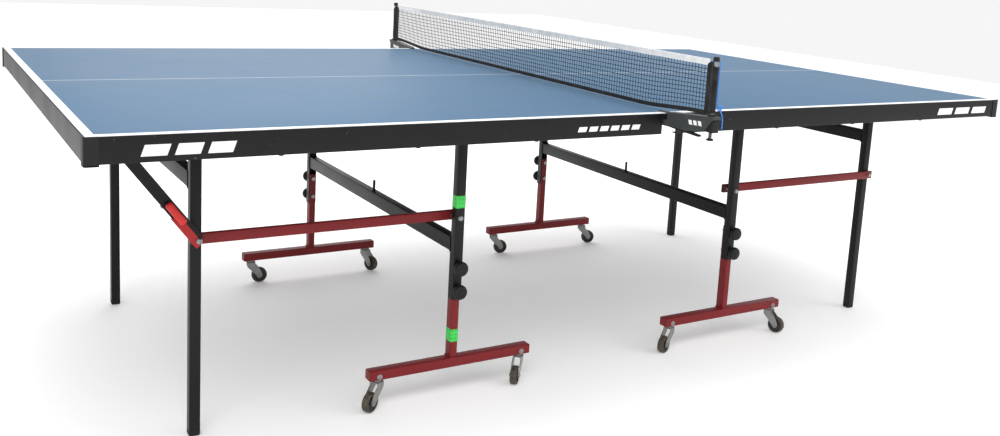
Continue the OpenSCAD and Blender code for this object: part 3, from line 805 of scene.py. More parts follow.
def add_head(shape, x, z, seat, out, size=7.0, height=5.0, hexagon=True):
    """A bolt head seated at y = seat that stands out towards out: a washer, then a hexagon
    with a chamfered top, or a domed pan head."""
    axis = (0, out, 0)
    washer = [(0.2, 0), (size, 0), (size, 1.1), (size - 0.5, 1.5), (0.2, 1.5)]
    shape.turned(washer, (x, seat, z), axis, 28)
    if hexagon:
        top = [(0.2, 1.4), (size - 0.6, 1.4), (size - 0.6, height - 0.9), (size - 1.9, height),
               (0.2, height)]
        shape.turned(top, (x, seat, z), axis, 6)
    else:
        dome = [(0.2, 1.2), (size - 0.6, 1.2), (size - 0.7, height - 2), (size - 2.2, height - 0.6),
                (2.6, height), (2.4, height - 1.8), (0.2, height - 1.8)]
        shape.turned(dome, (x, seat, z), axis, 28)


def spacer(shape, x, z, start, end):
    """A round spacer on a bolt, from start to end along y."""
    shape.turned([(0.2, start), (9, start), (9, end), (0.2, end)], (x, 0, z), (0, 1, 0), 28)


def make_frame_bolts(side, name):
    """Bolts of the posts and legs, with their heads, washers and round spacers."""
    posts, legs = Shape(), Shape()
    pivot_z = UPPER_PIVOT[2]
    for row in (-1, 1):
        mirrored(posts, side, row)
        mirrored(legs, side, row)
        x = UPPER_PIVOT[0]
        add_head(posts, x, pivot_z, POST_OUT + 0.1, 1)
        add_head(posts, x, pivot_z, RAIL_IN - 0.2, -1, 7, 4)
        spacer(posts, x, pivot_z, RAIL_OUT + 0.2, POST_IN - 0.2)
        x = LEG_PIVOT[0]
        add_head(legs, x, pivot_z, LEG_IN - 0.1, -1, 7, 4)
        legs.turned([(0.2, LEG_OUT + 0.2), (9, LEG_OUT + 0.2), (9, RAIL_IN - 0.2),
                     (4, RAIL_IN - 0.1), (4, RAIL_OUT), (0.2, RAIL_OUT)],
                    (x, 0, pivot_z), (0, 1, 0), 28)
    mirrored(posts, side, -1)
    mirrored(legs, side, -1)
    add_head(posts, POST_X, LINK_Z, POST_OUT + 0.1, 1)
    add_head(posts, POST_X, LINK_Z, BAR_IN - 0.2, -1, 7, 4)
    spacer(posts, POST_X, LINK_Z, BAR_OUT + 0.2, POST_IN - 0.2)
    reach = -box(name + "_leg_bolts")[0][1] - 5.5
    add_head(legs, LEG_X, LINK_Z, reach, 1, 7, 5.5, hexagon=side > 0)
    add_head(legs, LEG_X, LINK_Z, LEG_IN - 0.1, -1, 7, 4)
    legs.turned([(0.2, LEG_OUT + 0.2), (9, LEG_OUT + 0.2), (9, BAR_IN - 0.3), (4, BAR_IN - 0.2),
                 (4, reach + 1), (0.2, reach + 1)], (LEG_X, 0, LINK_Z), (0, 1, 0), 28)
    posts.build(name + "_post_hardware", name + "_frame", "zinc", finishes["zinc"],
                [name + "_post_bolts"])
    legs.build(name + "_leg_hardware", name + "_legs", "zinc", finishes["zinc"], [name + "_leg_bolts"])


def brace_place():
    """Where the brace lies: drawn along +x from the link bolt, then tilted up."""
    top = (-BRACE_PIVOT[0], BRACE_PIVOT[2])
    tilt = math.atan2(top[1] - LINK_Z, top[0] - LEG_X)
    reach = math.hypot(top[1] - LINK_Z, top[0] - LEG_X)
    place = Matrix.Translation((LEG_X, 0, LINK_Z)) @ Matrix.Rotation(-tilt, 4, "Y")
    return place, reach


def make_brace():
    """The diagonal brace: a flat tube with a round upper end and a half-round seat at its
    foot, the pin it carries and the stud it turns on."""
    place, reach = brace_place()
    in_y, wide, half, notch = POST_IN - 10, 12, 12.5, 4.4
    shape, pin = Shape(), Shape()
    for part in (shape, pin):
        part.place = place
        mirrored(part, -1, -1)
    arc = np.linspace(-math.pi / 2, math.pi / 2, 14)
    seat = np.linspace(math.pi / 2, -math.pi / 2, 10)
    outline = [(-half, 0.5)] + [(half * math.sin(a), reach + half * math.cos(a)) for a in arc]
    outline += [(half, 0.5), (notch + 0.1, 0)]
    outline += [(notch * math.sin(a), notch * math.cos(a)) for a in seat]
    outline.append((-notch - 0.1, 0))
    shape.plate(outline, 1, in_y, in_y + wide)
    shape.build("brace_coated", "brace", "steel_black", finishes["black"], ["brace"], bevel=1.6)
    pin.turned([(0.2, -2), (2.4, -2), (2.4, 2.2), (4.2, 2.4), (4.2, 4.4), (3.2, 5.4), (0.2, 5.8)],
               (112, in_y + 6, 3 - half), (0, 0, -1), 20)
    pin.build("brace_pin", "brace", "zinc", finishes["zinc"])
    studs = Shape()
    mirrored(studs, -1, -1)
    top_x, top_z = -BRACE_PIVOT[0], BRACE_PIVOT[2]
    add_head(studs, top_x, top_z, in_y + wide + 0.5, 1, 7, 4.5, hexagon=False)
    studs.turned([(0.2, 0), (4, 0), (4, 13.5), (0.2, 13.5)], (top_x, in_y - 0.9, top_z),
                 (0, 1, 0), 20)
    return studs.build("brace_stud", "left_top", "zinc", finishes["zinc"])


def make_latch():
    """The latch: an angle of sheet steel that slides along the brace, its end notched to hook
    the leg's bolt, and a moulded finger grip."""
    place = brace_place()[0]
    web = POST_IN + 2.5
    sleeve, grip = Shape(), Shape()
    for part in (sleeve, grip):
        part.place = place
        mirrored(part, -1, -1)
    low_z, high_z, notch, end_mm, length_mm = -14.9, 3.2, 4.4, 10, 78
    arc = np.linspace(-math.pi / 2, math.asin(high_z / notch), 12)
    hook = [(notch * math.sin(a), notch * math.cos(a)) for a in arc]
    outline = [(low_z, length_mm), (low_z, 2 - end_mm), (low_z + 0.6, 0.6 - end_mm),
               (low_z + 2, -end_mm), (-notch, -end_mm)] + hook + [(high_z, length_mm)]
    sleeve.plate(outline, 1, web, web + 2)
    sleeve.bar((1.0, POST_IN - 9.5, low_z), (length_mm, web + 0.5, low_z + 2), 0, 0.9, (0.6, 0.6))
    sleeve.build("latch_sleeve_coated", "latch", "latch_red", finishes["bright_red"],
                 ["latch_sleeve"], bevel=0.5)
    grip.bar((55, web + 1.5, -8), (115, web + 16, 9), 0, 6.4, (6.5, 6.5), 6)
    # The grip takes the lighter, lit copy of the latch red (painted highlight); the sleeve keeps the
    # darker one.
    return grip.build("latch_grip", "latch", "latch_red", finishes["grip"])


def make_wheel_base(side, side_name, row, row_name):
    """A red wheel base: upright and beam with plugged ends, a weld between them and the
    bolts that hold the caster sockets."""
    sizes = chosen()
    name = side_name + "_" + row_name + "_base"
    base, plugs, bolts = Shape(), Shape(), Shape()
    for part in (base, plugs, bolts):
        mirrored(part, side, row)
    beam_low, beam_high = base_low[2], base_low[2] + 25
    half_long = (base_high[0] - base_low[0]) / 2
    upright_out, upright_half, socket_in, plug = POST_OUT - 2, 9.8, 26, 1.6
    corner = sizes.tube_corner
    base.bar((POST_X - upright_half, upright_out - 30, beam_high + 0.05),
             (POST_X + upright_half, upright_out - 0.3, base_high[2] - 1.6), 2, corner, (0.2, 0.8))
    base.bar((POST_X - half_long + 1.5, POST_OUT - 30.5, beam_low),
             (POST_X + half_long - 1.5, POST_OUT - 0.5, beam_high), 0, corner, (0.3, 0.3))
    base.weld((POST_X, upright_out - 15, beam_high + 0.4), 20, 30, 2, sizes.weld)
    for end in (-1, 1):
        face = POST_X + end * half_long
        ends = sorted((face, face - end * plug))
        plugs.bar((ends[0], POST_OUT - 30, beam_low + 0.5),
                  (ends[1], POST_OUT - 1, beam_high - 0.5), 0, 2.2, (0.6, 0.6))
        x = POST_X + end * (half_long - socket_in)
        bolts.turned([(0.2, 0), (7.4, 0), (7.1, 1.4), (5.2, 2.6), (2.2, 2.9), (2.0, 1.6), (0.2, 1.6)],
                     (x, POST_OUT - 0.5, beam_low + 9), (0, 1, 0), 20)
    plugs.build(name + "_plugs", name, "steel_red", finishes["red"])
    bolts.build(name + "_bolts", name, "zinc", finishes["zinc"])
    return base.build(name + "_coated", name, "steel_red", finishes["red"], [name])


def make_knob(side, side_name, row, row_name, level):
    """A clamping knob: a turned body whose radius dips between ribs, on its bolt."""
    sizes = chosen()
    name = side_name + "_" + row_name + "_" + ("lower", "upper")[level] + "_knob"
    low, high = box(name)
    radius = (high[0] - low[0]) / 2
    ribs = sizes.knob_ribs
    knob, bolt = Shape(), Shape()
    for part in (knob, bolt):
        mirrored(part, side, row)
    seat = POST_OUT + 0.2
    profile = [(0.2, 0), (9, 0), (9, 4.5), (9.8, 5.2), (radius - 3, 8), (radius - 0.6, 10),
               (radius, 11.5), (radius, 18.5), (radius - 0.7, 20.8), (radius - 2.2, 22.8),
               (radius - 6, 25), (8.2, 25.8), (7.6, 24.9), (7.0, 25.4), (3.5, 26), (0.2, 26)]
    depth = np.array([0, 0, 0, 0, 0.2, 0.9, 1, 1, 0.9, 0.5, 0.1, 0, 0, 0, 0, 0])

    deepest = 0.055

    def dip(angle, line):
        return 1 - deepest * depth[line] * (0.5 + 0.5 * np.cos(ribs * angle)) ** 2

    knob.turned(profile, (POST_X, seat, KNOB_Z[level]), (0, 1, 0), ribs * 6, dip)
    inner = -high[1] if row < 0 else low[1]
    tip = seat + 1 - inner
    bolt.turned([(0.2, 0), (6.1, 0), (6.5, 0.5), (6.5, 3.5), (6.1, 4), (4, 4), (4, tip),
                 (0.2, tip)], (POST_X, inner, KNOB_Z[level]), (0, 1, 0), 24)
    bolt.build(name + "_bolt", name, "zinc", finishes["zinc"])
    return knob.build(name + "_moulded", name, "plastic_black", finishes["plastic"], [name], sharp=60)


def caster_place(name):
    """A caster's own frame: its stem as the origin on the floor, and the trail along +x."""
    stem, axle = joint(name + "_swivel"), joint(name + "_roll")
    turn = math.atan2(axle[1] - stem[1], axle[0] - stem[0])
    place = Matrix.Translation((stem[0], stem[1], 0)) @ Matrix.Rotation(turn, 4, "Z")
    return place, math.hypot(axle[0] - stem[0], axle[1] - stem[1]), axle[2]


def make_caster(name):
    """A swivel caster: a pressed fork under a raceway, its axle with two heads, and a wheel
    with a raised hub, a ribbed web and a crowned tread."""
    place, trail, axle_z = caster_place(name)
    fork, wheel = Shape(), Shape()
    fork.place = wheel.place = place
    crown, cheek, sheet = base_low[2] - 7, 10.2, 2.0
    fork.turned([(0.2, 0), (14.2, 0), (15, 0.8), (15, 1.6), (13.4, 2.4), (12, 2.6), (12, 5.6),
                 (11, 6.8), (5, 6.8), (5, 24), (0.2, 24)], (0, 0, crown), (0, 0, 1), 36)
    bend = np.linspace(0, math.pi / 2, 5)
    half, top, outer_r, inner_r = cheek + sheet, crown + 0.5, 3.2, 1.2
    outer = [(half - outer_r + outer_r * math.cos(a), top - outer_r + outer_r * math.sin(a))
             for a in bend]
    inner = [(cheek - inner_r + inner_r * math.cos(a),
              top - sheet - inner_r + inner_r * math.sin(a)) for a in bend[::-1]]
    right = [(half, crown - 9)] + outer
    left = [(-y, z) for y, z in right[::-1]]
    back = [(-y, z) for y, z in inner[::-1]]
    roof = right + left + [(-cheek, crown - 9)] + back + inner + [(cheek, crown - 9)]
    fork.plate(roof, 0, -12, 14)
    side_outline = fillet([(-12, crown - 8.5), (15, crown - 8.5), (31, 44), (trail + 10, 27),
                           (trail + 5, 17), (trail - 5, 17), (trail - 11, 27),
                           (-12, crown - 14)], 5, 4)
    for y in (-half, cheek):
        fork.plate(side_outline[:, ::-1], 1, y, y + sheet)
    for out in (-1, 1):
        fork.turned([(0.2, 0), (5.5, 0), (5.5, 1.6), (4.4, 2.5), (1.8, 2.5), (1.6, 1.4), (0.2, 1.4)],
                    (trail, out * half, axle_z), (0, out, 0), 6 if out > 0 else 24)
    fork.turned([(0.2, -half), (3, -half), (3, half), (0.2, half)], (trail, 0, axle_z),
                (0, 1, 0), 16)
    r, w, spokes = axle_z, 9.0, 6
    rim = [(3.1, -w - 1), (7.4, -w - 1), (8.0, -w), (8.2, -w + 3), (17.4, -w + 3.2), (18.4, -w + 0.6),
           (19.2, -w), (22.2, -w), (23.6, -w + 0.7), (24.5, -w + 2.2), (r - 0.12, -w + 4.5),
           (r, -3), (r, 0)]
    tread = [0, 0, 0, 0, 0, 0, 0.15, 0.45, 0.8, 1, 1, 1, 1]
    profile = rim + [(q, -h) for q, h in rim[-2::-1]]
    wheel.turned(profile + [rim[0]], (trail, 0, axle_z), (0, 1, 0), 48,
                 marks=tread + tread[-2::-1] + [0])
    for k in range(spokes):
        spoke = Matrix.Rotation(k * 2 * math.pi / spokes, 4, "Y")
        spoke.translation = (trail, 0, axle_z)
        wheel.place = place @ spoke
        for low_y in (-w + 0.9, w - 4.4):
            wheel.bar((7.6, low_y, -1.1), (18.2, low_y + 3.5, 1.1), 0, 0.7, (0.2, 0.2), 2)
    fork.build(name + "_fork_plated", name + "_fork", "zinc", finishes["zinc"], [name + "_fork"])
    return wheel.build(name + "_wheel_moulded", name + "_wheel", "wheel_black", finishes["wheel"],
                       [name + "_wheel"])


def cheeks(shape, outline, low_x, high_x, wall):
    """Two flat cheeks of one outline, whose outer faces stand at low_x and high_x."""
    for start in (low_x, high_x - wall):
        shape.plate(outline, 0, start, start + wall)


def make_net_clamps():
    """The two net clamps: a bent steel arm with cheeks and a roof, the upper jaw on the board,
    the lower jaw's cheeks, and a black socket for the net post's foot."""
    shape, socket = Shape(), Shape()
    half, wall, jaw_end = CLAMP_HALF, 2.0, 0.5
    out, edge = clamp_high[1], profile_high[1] + 2.3
    for row in (-1, 1):
        mirrored(shape, 1, row)
        cheek = fillet([(edge, 763), (out, 777), (out, 772), (904, 737), (839, 728), (edge, 729)], 3, 3)
        cheeks(shape, cheek, -half, half, wall)
        roof = fillet([(edge - 0.5, 763.3), (out, 777.3), (out, 769.5), (out - wall, 769.5),
                       (out - wall, 775), (edge - 0.5, 761.2)], 1.6, 3)
        shape.plate(roof, 0, -half + 0.4, half - 0.4)
        shape.bar((-half + 0.4, edge, 729.5), (half - 0.4, edge + wall, 762), 0, 0.8, (0.3, 0.3))
        shape.bar((0.3 - half, 728.5, TABLE_TOP + 0.4), (jaw_end, edge + 3, 763), 2, 2.5,
                  (0.4, 0.8))
        jaw = fillet([(735, 727), (735, 743.6), (770.8, 743.6), (770.8, 727)], 5, 4)
        cheeks(shape, jaw, 0.3 - half, jaw_end, wall)
        shape.bar((0.3 - half, edge + 0.2, 741), (jaw_end, edge + 2.4, 744), 0, 0.8, (0.3, 0.3))
        mirrored(socket, 1, row)
        socket.bar((2.2 - half, 880, 738), (half - 2.2, out - 2.2, 768), 2, 3, (1.5, 1.5), 4)
        socket.turned([(6.2, 0), (10.5, 0), (10.5, 6), (9, 8), (6.2, 8)], (0, NET_POST_Y, 773.5),
                      (0, 0, 1), 28)
    socket.build("net_post_sockets", "left_top", "plastic_black", finishes["plastic"])
    return shape.build("net_clamps_coated", "left_top", "clamp_grey", finishes["clamp"], ["net_clamps"],
                       bevel=0.4)


def make_clamp_lever(row, row_name):
    """A clamp's cam lever: a round cam that runs out into a flat handle, on a steel pin."""
    lever, pin = Shape(), Shape()
    for part in (lever, pin):
        mirrored(part, 1, row)
    at_y, at_z = abs(LEVER_PIVOT[1]), LEVER_PIVOT[2]
    cam_r = 8.3
    arc = np.linspace(math.radians(75), math.radians(285), 18)
    cam = [(at_y + cam_r * math.cos(a), at_z + cam_r * math.sin(a)) for a in arc]
    handle = fillet([(at_y + 6, at_z - 7.4), (840, 722.5), (884, 720.5), (889, 723), (884, 726),
                     (840, 729), (at_y + 8, at_z + 2.4)], 4, 4)
    lever.plate(np.vstack([cam, handle]), 0, 2.3 - CLAMP_HALF, -1.8)
    end = -CLAMP_HALF
    pin.turned([(0.2, end - 2), (3.6, end - 2), (3.6, end - 0.3), (3, end - 0.1), (3, 0.5), (0.2, 0.5)],
               (0, at_y, at_z), (1, 0, 0), 20)
    pin.build(row_name + "_lever_pin", row_name + "_lever", "zinc", finishes["zinc"])
    return lever.build(row_name + "_lever_moulded", row_name + "_lever", "plastic_black",
                       finishes["plastic"], [row_name + "_clamp_lever"], bevel=1.6)


def make_height_screw(row, row_name):
    """A height screw: a plated thread drawn as rings of rising and falling radius, standing in
    a black knurled disc."""
    thread, disc = Shape(), Shape()
    for part in (thread, disc):
        mirrored(part, 1, row)
    low_z, start, end, half_pitch, knurls = 717, 5.0, 29.6, 0.6, 20
    turns = np.arange(start, end, half_pitch)
    crests = [(4.4 if i % 2 else 3.7, h) for i, h in enumerate(turns)]
    thread.turned([(0.2, start)] + crests + [(0.2, end)], (0, NET_POST_Y, low_z), (0, 0, 1), 40)
    rim = np.array([0, 0, 1, 1, 0, 0])

    def knurl(angle, line):
        return 1 - 0.05 * rim[line] * (0.5 + 0.5 * np.cos(knurls * angle))

    disc.turned([(0.2, 0), (7.5, 0), (9, 1.5), (9, 3.5), (7, 5), (0.2, 5.4)],
                (0, NET_POST_Y, low_z), (0, 0, 1), 4 * knurls, knurl)
    thread.build(row_name + "_height_thread", row_name + "_screw", "zinc", finishes["zinc"])
    return disc.build(row_name + "_height_screw_black", row_name + "_screw", "plastic_black",
                      finishes["plastic"], [row_name + "_height_screw"])


def make_net_posts():
    """The net posts: grey tubes whose foot stands in the clamp, with black domed caps."""
    posts, caps = Shape(), Shape()
    radius, low, high = 6.0, net_post_low[2], net_post_high[2]
    top = high - 11.5
    for row in (-1, 1):
        for part in (posts, caps):
            mirrored(part, 1, row)
        posts.turned([(0.2, low), (radius, low), (radius, top), (0.2, top)], (0, NET_POST_Y, 0),
                     (0, 0, 1), 28)
        caps.turned([(0.2, top), (7.6, top), (7.6, top + 8), (7.1, top + 10), (5.8, top + 11),
                     (3.4, high - 0.1), (0.2, high)], (0, NET_POST_Y, 0), (0, 0, 1), 28)
    caps.build("net_post_caps", "left_top", "plastic_black", finishes["plastic"])
    return posts.build("net_posts_plated", "left_top", "zinc", finishes["zinc"], ["net_posts"])


def net_foot(y):
    """Height of the net's lower edge: low over the boards, rising slowly towards the clamps
    on a long S curve."""
    t = np.clip((np.abs(y) - 630) / 270, 0, 1)
    return net_low[2] + 13 * t * t * (3 - 2 * t)


def make_net_mesh():
    """The net's strands: a square mesh, knotted where they cross, on a grid of crossing
    points. The columns stand a pitch apart, and the rows share out the height between the
    band and the tape. Each strand is a square prism from one crossing point to the next,
    and each knot an octahedron."""
    sizes = chosen()
    net = Shape()
    top_z, foot_band, stray = tape_low[2] + 1.0, sizes.band - 1.5, 0.16
    columns = int(2 * NET_HALF / sizes.mesh_pitch)
    rows = int((top_z - net_low[2] - foot_band) / sizes.mesh_pitch) + 1
    y = np.linspace(-NET_HALF, NET_HALF, columns + 1)
    foot = net_foot(y) + foot_band
    share = np.linspace(0, 1, rows + 1)
    z = foot[None, :] + (top_z - foot)[None, :] * share[:, None]
    seed = np.random.default_rng(7)
    shift = seed.normal(0, stray, (2,) + z.shape)
    inner = (share > 0) & (share < 1)
    grid_y = y[None, :] + shift[0] * inner[:, None]
    grid_z = z + shift[1] * inner[:, None]
    r = sizes.strand / 2
    cross = r * np.array([(1, 0), (0, 1), (-1, 0), (0, -1)])

    def prisms(start, end, along):
        """Square prisms from start points to end points, with closed ends."""
        count = len(start)
        across = 2 if along == 1 else 1
        offset = np.zeros((4, 3))
        offset[:, 0], offset[:, across] = cross[:, 0], cross[:, 1]
        points = np.stack([start[:, None] + offset, end[:, None] + offset], 1)
        base = np.arange(count)[:, None, None] * 8
        sides = [[k, (k + 1) % 4, 4 + (k + 1) % 4, 4 + k] for k in range(4)]
        quads = np.array(sides + [[3, 2, 1, 0], [4, 5, 6, 7]])
        net.add(points, (base + quads[None]).reshape(-1, 4).tolist())

    points = np.stack([np.zeros_like(grid_y), grid_y, grid_z], -1)
    prisms(points[:-1].reshape(-1, 3), points[1:].reshape(-1, 3), 2)
    level = points[1:-1]
    prisms(level[:, :-1].reshape(-1, 3), level[:, 1:].reshape(-1, 3), 1)
    knots = level[:, 1:-1].reshape(-1, 3)
    knot_r = 1.5 * r
    axes = knot_r * np.array([(1, 0, 0), (0, 1, 0), (-1, 0, 0), (0, -1, 0), (0, 0, 1), (0, 0, -1)])
    fans = np.array([(k, (k + 1) % 4, 4) for k in range(4)]
                    + [((k + 1) % 4, k, 5) for k in range(4)])
    base = np.arange(len(knots))[:, None, None] * 6
    net.add(knots[:, None] + axes, (base + fans[None]).reshape(-1, 3).tolist())
    mesh = net.build("net_mesh", "left_top", "net_black", finishes["net"], ["netting"])
    # One face of the mesh is half the skin of its strands, whose girth is 4 * sqrt(2) * r.
    strand_run = rows * sizes.mesh_pitch * columns + (rows - 1) * 2 * NET_HALF
    area = 0.5 * 4 * math.sqrt(2) * r * MM * MM * strand_run
    least_cover = 0.305
    flat_mesh = (2 * NET_HALF * MM, (top_z - net_low[2]) * MM)
    max(area, least_cover * flat_mesh[0] * flat_mesh[1])
    return mesh


def make_foot_band():
    """The woven band along the net's foot: a rounded strip carried along the net, which
    leans from side to side as a sum of two sines."""
    tall = chosen().band
    band = Shape()
    half_long, thick = NET_HALF + 4, 1.9
    line = np.linspace(-half_long, half_long, 140)
    low = net_foot(line)
    lean = 0.25 * np.sin(line * 0.031) + 0.15 * np.sin(line * 0.11)
    outline = rounded(thick, tall, 0.9)
    rings = np.zeros((len(line), len(outline), 3))
    rings[:, :, 0] = outline[:, 0] + lean[:, None] * 0.6
    rings[:, :, 1] = line[:, None]
    rings[:, :, 2] = (low + tall / 2)[:, None] + outline[:, 1]
    band.skin(rings)
    lower = band.build("net_foot_band", "left_top", "net_black", finishes["band"])
    return lower


def make_end_sleeves():
    """The sleeves that hold the net on its posts: an open arc round each post that runs into
    a flat tongue on the net. The upper edge rises to a low peak, and the sleeve's width
    swells and shrinks a little with height as a sine."""
    sleeves = Shape()
    wrap_r, start_y, low_z, high_z, peak, peak_at = 7.7, 887, 781, 900, 11, 0.42
    turn = np.linspace(-math.pi * 0.62, math.pi * 0.62, 18)
    wrap = np.column_stack([wrap_r * np.sin(turn), NET_POST_Y + wrap_r * np.cos(turn)])
    flat = [(2.4, 904), (1.8, 899), (1.5, start_y), (-1.5, start_y), (-1.8, 899), (-2.4, 904)]
    plan = np.vstack([wrap, flat])
    steps = np.linspace(0, 1, 10)[:, None]
    reach = np.clip((plan[:, 1] - start_y) / 36, 0, 1)
    bottom = low_z + 3 * reach
    upper = high_z + peak * np.clip(1 - np.abs(reach - peak_at) / peak_at, 0, 1) - 5 * reach
    rings = np.zeros((len(steps), len(plan), 3))
    rings[:, :, 0] = plan[:, 0] * (1 + 0.035 * np.sin(steps * 9))
    rings[:, :, 1] = plan[:, 1]
    rings[:, :, 2] = bottom + (upper - bottom) * steps
    for row in (-1, 1):
        mirrored(sleeves, 1, row)
        sleeves.skin(rings)
    pair = sleeves.build("net_end_sleeves", "left_top", "net_black", finishes["band"], sharp=60)
    return pair


def make_tape():
    """The white band: one strip folded over the net's top edge and stitched, so its section is
    a narrow loop, wider at the cord in its fold. It waves a little from side to side."""
    shape = Shape()
    half_y = tape_high[1]
    line = np.linspace(-half_y, half_y, 160)
    low, high = tape_low[2], tape_high[2]
    rising = [(-0.75, low), (-0.9, low + 5), (-0.85, low + 10), (-1.35, high - 2.2),
              (-1.2, high - 0.9), (-0.6, high - 0.2)]
    falling = [(-x, z) for x, z in rising[::-1]]
    outline = np.array(rising + [(0, high)] + falling)
    rings = np.zeros((len(line), len(outline), 3))
    hang = np.clip((high - outline[:, 1]) / (high - low), 0, 1)
    wave = 0.5 * np.sin(line * 0.023) + 0.25 * np.sin(line * 0.071 + 1)
    rings[:, :, 0] = outline[:, 0] + wave[:, None] * hang[None]
    rings[:, :, 1] = line[:, None]
    rings[:, :, 2] = outline[:, 1] + 0.25 * np.sin(line * 0.05)[:, None] * hang[None]
    shape.skin(rings)
    piece = shape.build("net_top_tape", "left_top", "tape_white", finishes["tape"], ["net_tape"],
                        sharp=70)
    return piece


# The cord's route in metres: tape, post, loop, clamp and free end.
CORD_ROUTE = (
    (0, -0.894, 0.905), (0.0015, -0.898, 0.906), (0.006, -0.904, 0.9085), (0.01, -0.911, 0.911),
    (0.0105, -0.917, 0.908), (0.01, -0.9185, 0.895), (0.01, -0.9185, 0.872), (0.01, -0.9185, 0.85),
    (0.01, -0.9185, 0.828), (0.0105, -0.9185, 0.812), (0.011, -0.919, 0.804), (0.012, -0.9195, 0.7975),
    (0.014, -0.92, 0.7915), (0.018, -0.921, 0.7895), (0.0215, -0.922, 0.7925), (0.022, -0.923, 0.798),
    (0.019, -0.924, 0.802), (0.015, -0.925, 0.8015), (0.0135, -0.9255, 0.7965), (0.015, -0.926, 0.7905),
    (0.0185, -0.9265, 0.785), (0.022, -0.9265, 0.779), (0.024, -0.9265, 0.772), (0.025, -0.926, 0.765),
    (0.025, -0.926, 0.755), (0.025, -0.926, 0.746))


def make_cord():
    """The cord that pulls the net tight: out of the tape, round the post, down beside it, once
    round in a loop and over the clamp to its free end. Between two points of its route it is
    a cubic whose slope at each is half the step from the point before to the point after."""
    sizes = chosen()
    route = np.array(CORD_ROUTE)
    before = np.vstack([route[:1], route[:-1]])
    after = np.vstack([route[1:], route[-1:]])
    beyond = np.vstack([route[2:], route[-1:], route[-1:]])
    t = np.linspace(0, 1, 4, endpoint=False)[None, :, None]
    p, q, r, s = (a[:-1, None] for a in (before, route, after, beyond))
    smooth = 0.5 * (2 * q + (r - p) * t + (2 * p - 5 * q + 4 * r - s) * t ** 2
                    + (3 * q - p - 3 * r + s) * t ** 3)
    points = np.vstack([smooth.reshape(-1, 3), route[-1:]])
    curve = bpy.data.curves.new("tension_cord_line", "CURVE")
    curve.dimensions = "3D"
    curve.bevel_depth = sizes.cord / 2 * MM
    curve.bevel_resolution = 3
    curve.use_fill_caps = True
    spline = curve.splines.new("POLY")
    spline.points.add(len(points) - 1)
    spline.points.foreach_set("co", np.column_stack([points, np.ones(len(points))]).ravel())
    spline.use_smooth = True
    piece = bpy.data.objects.new("tension_cord_braided", curve)
    bpy.context.collection.objects.link(piece)
    settle(piece, "left_top", finishes["braid"], ["tension_cord"])
    return piece


def make_marking_tape():
    """Green tape wound in two layers round the near left post and round the red upright
    below it."""
    for name, body, half_x, low_y, high_y, low_z, high_z in (
            ("post", "left_frame", TUBE / 2, POST_IN, POST_OUT, 497, 529),
            ("upright", "left_near_base", 10, POST_OUT - 32, POST_OUT - 2, 145, 178)):
        shape = Shape()
        mirrored(shape, -1, -1)
        for left, right, back, front, low_in, high_in in (
                (0.45, 0.45, 0.45, 0.45, 0, 0), (0.8, 0.2, 0.3, 0.75, 1, 1.5)):
            shape.bar((POST_X - half_x - left, low_y - back, low_z + low_in),
                      (POST_X + half_x + right, high_y + front, high_z - high_in), 2, 2.8,
                      (0.2, 0.2))
        shape.build("marking_tape_" + name, body, "tape_white", finishes["marking"])


# ---------------------------------------------------------------- stage


def make_stage():
    """A wide pale floor, an even white sky and four soft lamps aimed at the table."""
    sky = bpy.data.worlds.new("studio")
    bpy.context.scene.world = sky
    bpy.context.scene.view_settings.view_transform = "Standard"
    sky.use_nodes = True
    sky.node_tree.nodes["Background"].inputs["Color"].default_value = (1, 1, 1, 1)
    sky.node_tree.nodes["Background"].inputs["Strength"].default_value = 0.92
    half_wide, front, back = 9, -7, 14
    corners = [(-half_wide, front, 0), (half_wide, front, 0), (half_wide, back, 0),
               (-half_wide, back, 0)]
    mesh = bpy.data.meshes.new("floor")
    mesh.from_pydata(corners, [], [(0, 1, 2, 3)])
    floor = bpy.data.objects.new("floor", mesh)
    bpy.context.collection.objects.link(floor)
    paint = Paint("floor", 0.7, Emission_Color=(1, 1, 1, 1), Emission_Strength=0.16)
    paint.feed(Base_Color=paint.mix(paint.noise(0.8), (0.93, 0.93, 0.93), (0.97, 0.97, 0.97)))
    mesh.materials.append(paint.material)
    lamps = (("key", (-2.6, -3.4, 3.8), 90, 3.0), ("fill", (3.6, -3.0, 3.0), 45, 3.0),
             ("top", (0.4, 0.6, 4.2), 90, 4.0), ("back", (0.5, 4.5, 3.2), 40, 3.0))
    aim = Vector((0, 0, 0.4))
    for name, place, power, size in lamps:
        light = bpy.data.lights.new(name, "AREA")
        light.energy, light.size = power, size
        lamp = bpy.data.objects.new(name, light)
        bpy.context.collection.objects.link(lamp)
        turn = (Vector(place) - aim).to_track_quat("Z", "Y")
        lamp.matrix_world = Matrix.Translation(place) @ turn.to_matrix().to_4x4()


def make_camera():
    """The camera: heading, tilt and roll in radians, for a view over the near left corner."""
    yaw, pitch, roll = 0.570610, 0.160115, 0.059741
    ahead = np.array([math.sin(yaw) * math.cos(pitch), math.cos(yaw) * math.cos(pitch),
                      -math.sin(pitch)])
    level = np.array([math.cos(yaw), -math.sin(yaw), 0])
    up = np.cross(level, ahead)
    right = level * math.cos(roll) + up * math.sin(roll)
    top = -level * math.sin(roll) + up * math.cos(roll)
    lens = bpy.data.cameras.new("camera")
    lens.sensor_width, lens.lens = 36, 36.742
    lens.shift_x, lens.shift_y = -0.03685, -0.09758
    camera = bpy.data.objects.new("camera", lens)
    bpy.context.collection.objects.link(camera)
    place = Matrix.Identity(4)
    for column, axis in enumerate((right, top, -ahead, (-1.66036, -2.72784, 1.13230))):
        for line in range(3):
            place[line][column] = axis[line]
    camera.matrix_world = place
    bpy.context.scene.camera = camera


# ---------------------------------------------------------------- add-on


class TABLE_OT_finishes(bpy.types.Operator):
    """Mix the finishes from the colours"""

    bl_idname = "table.finishes"
    bl_label = "Finishes"

    def execute(self, context):
        mix_finishes(context)
        return {"FINISHED"}


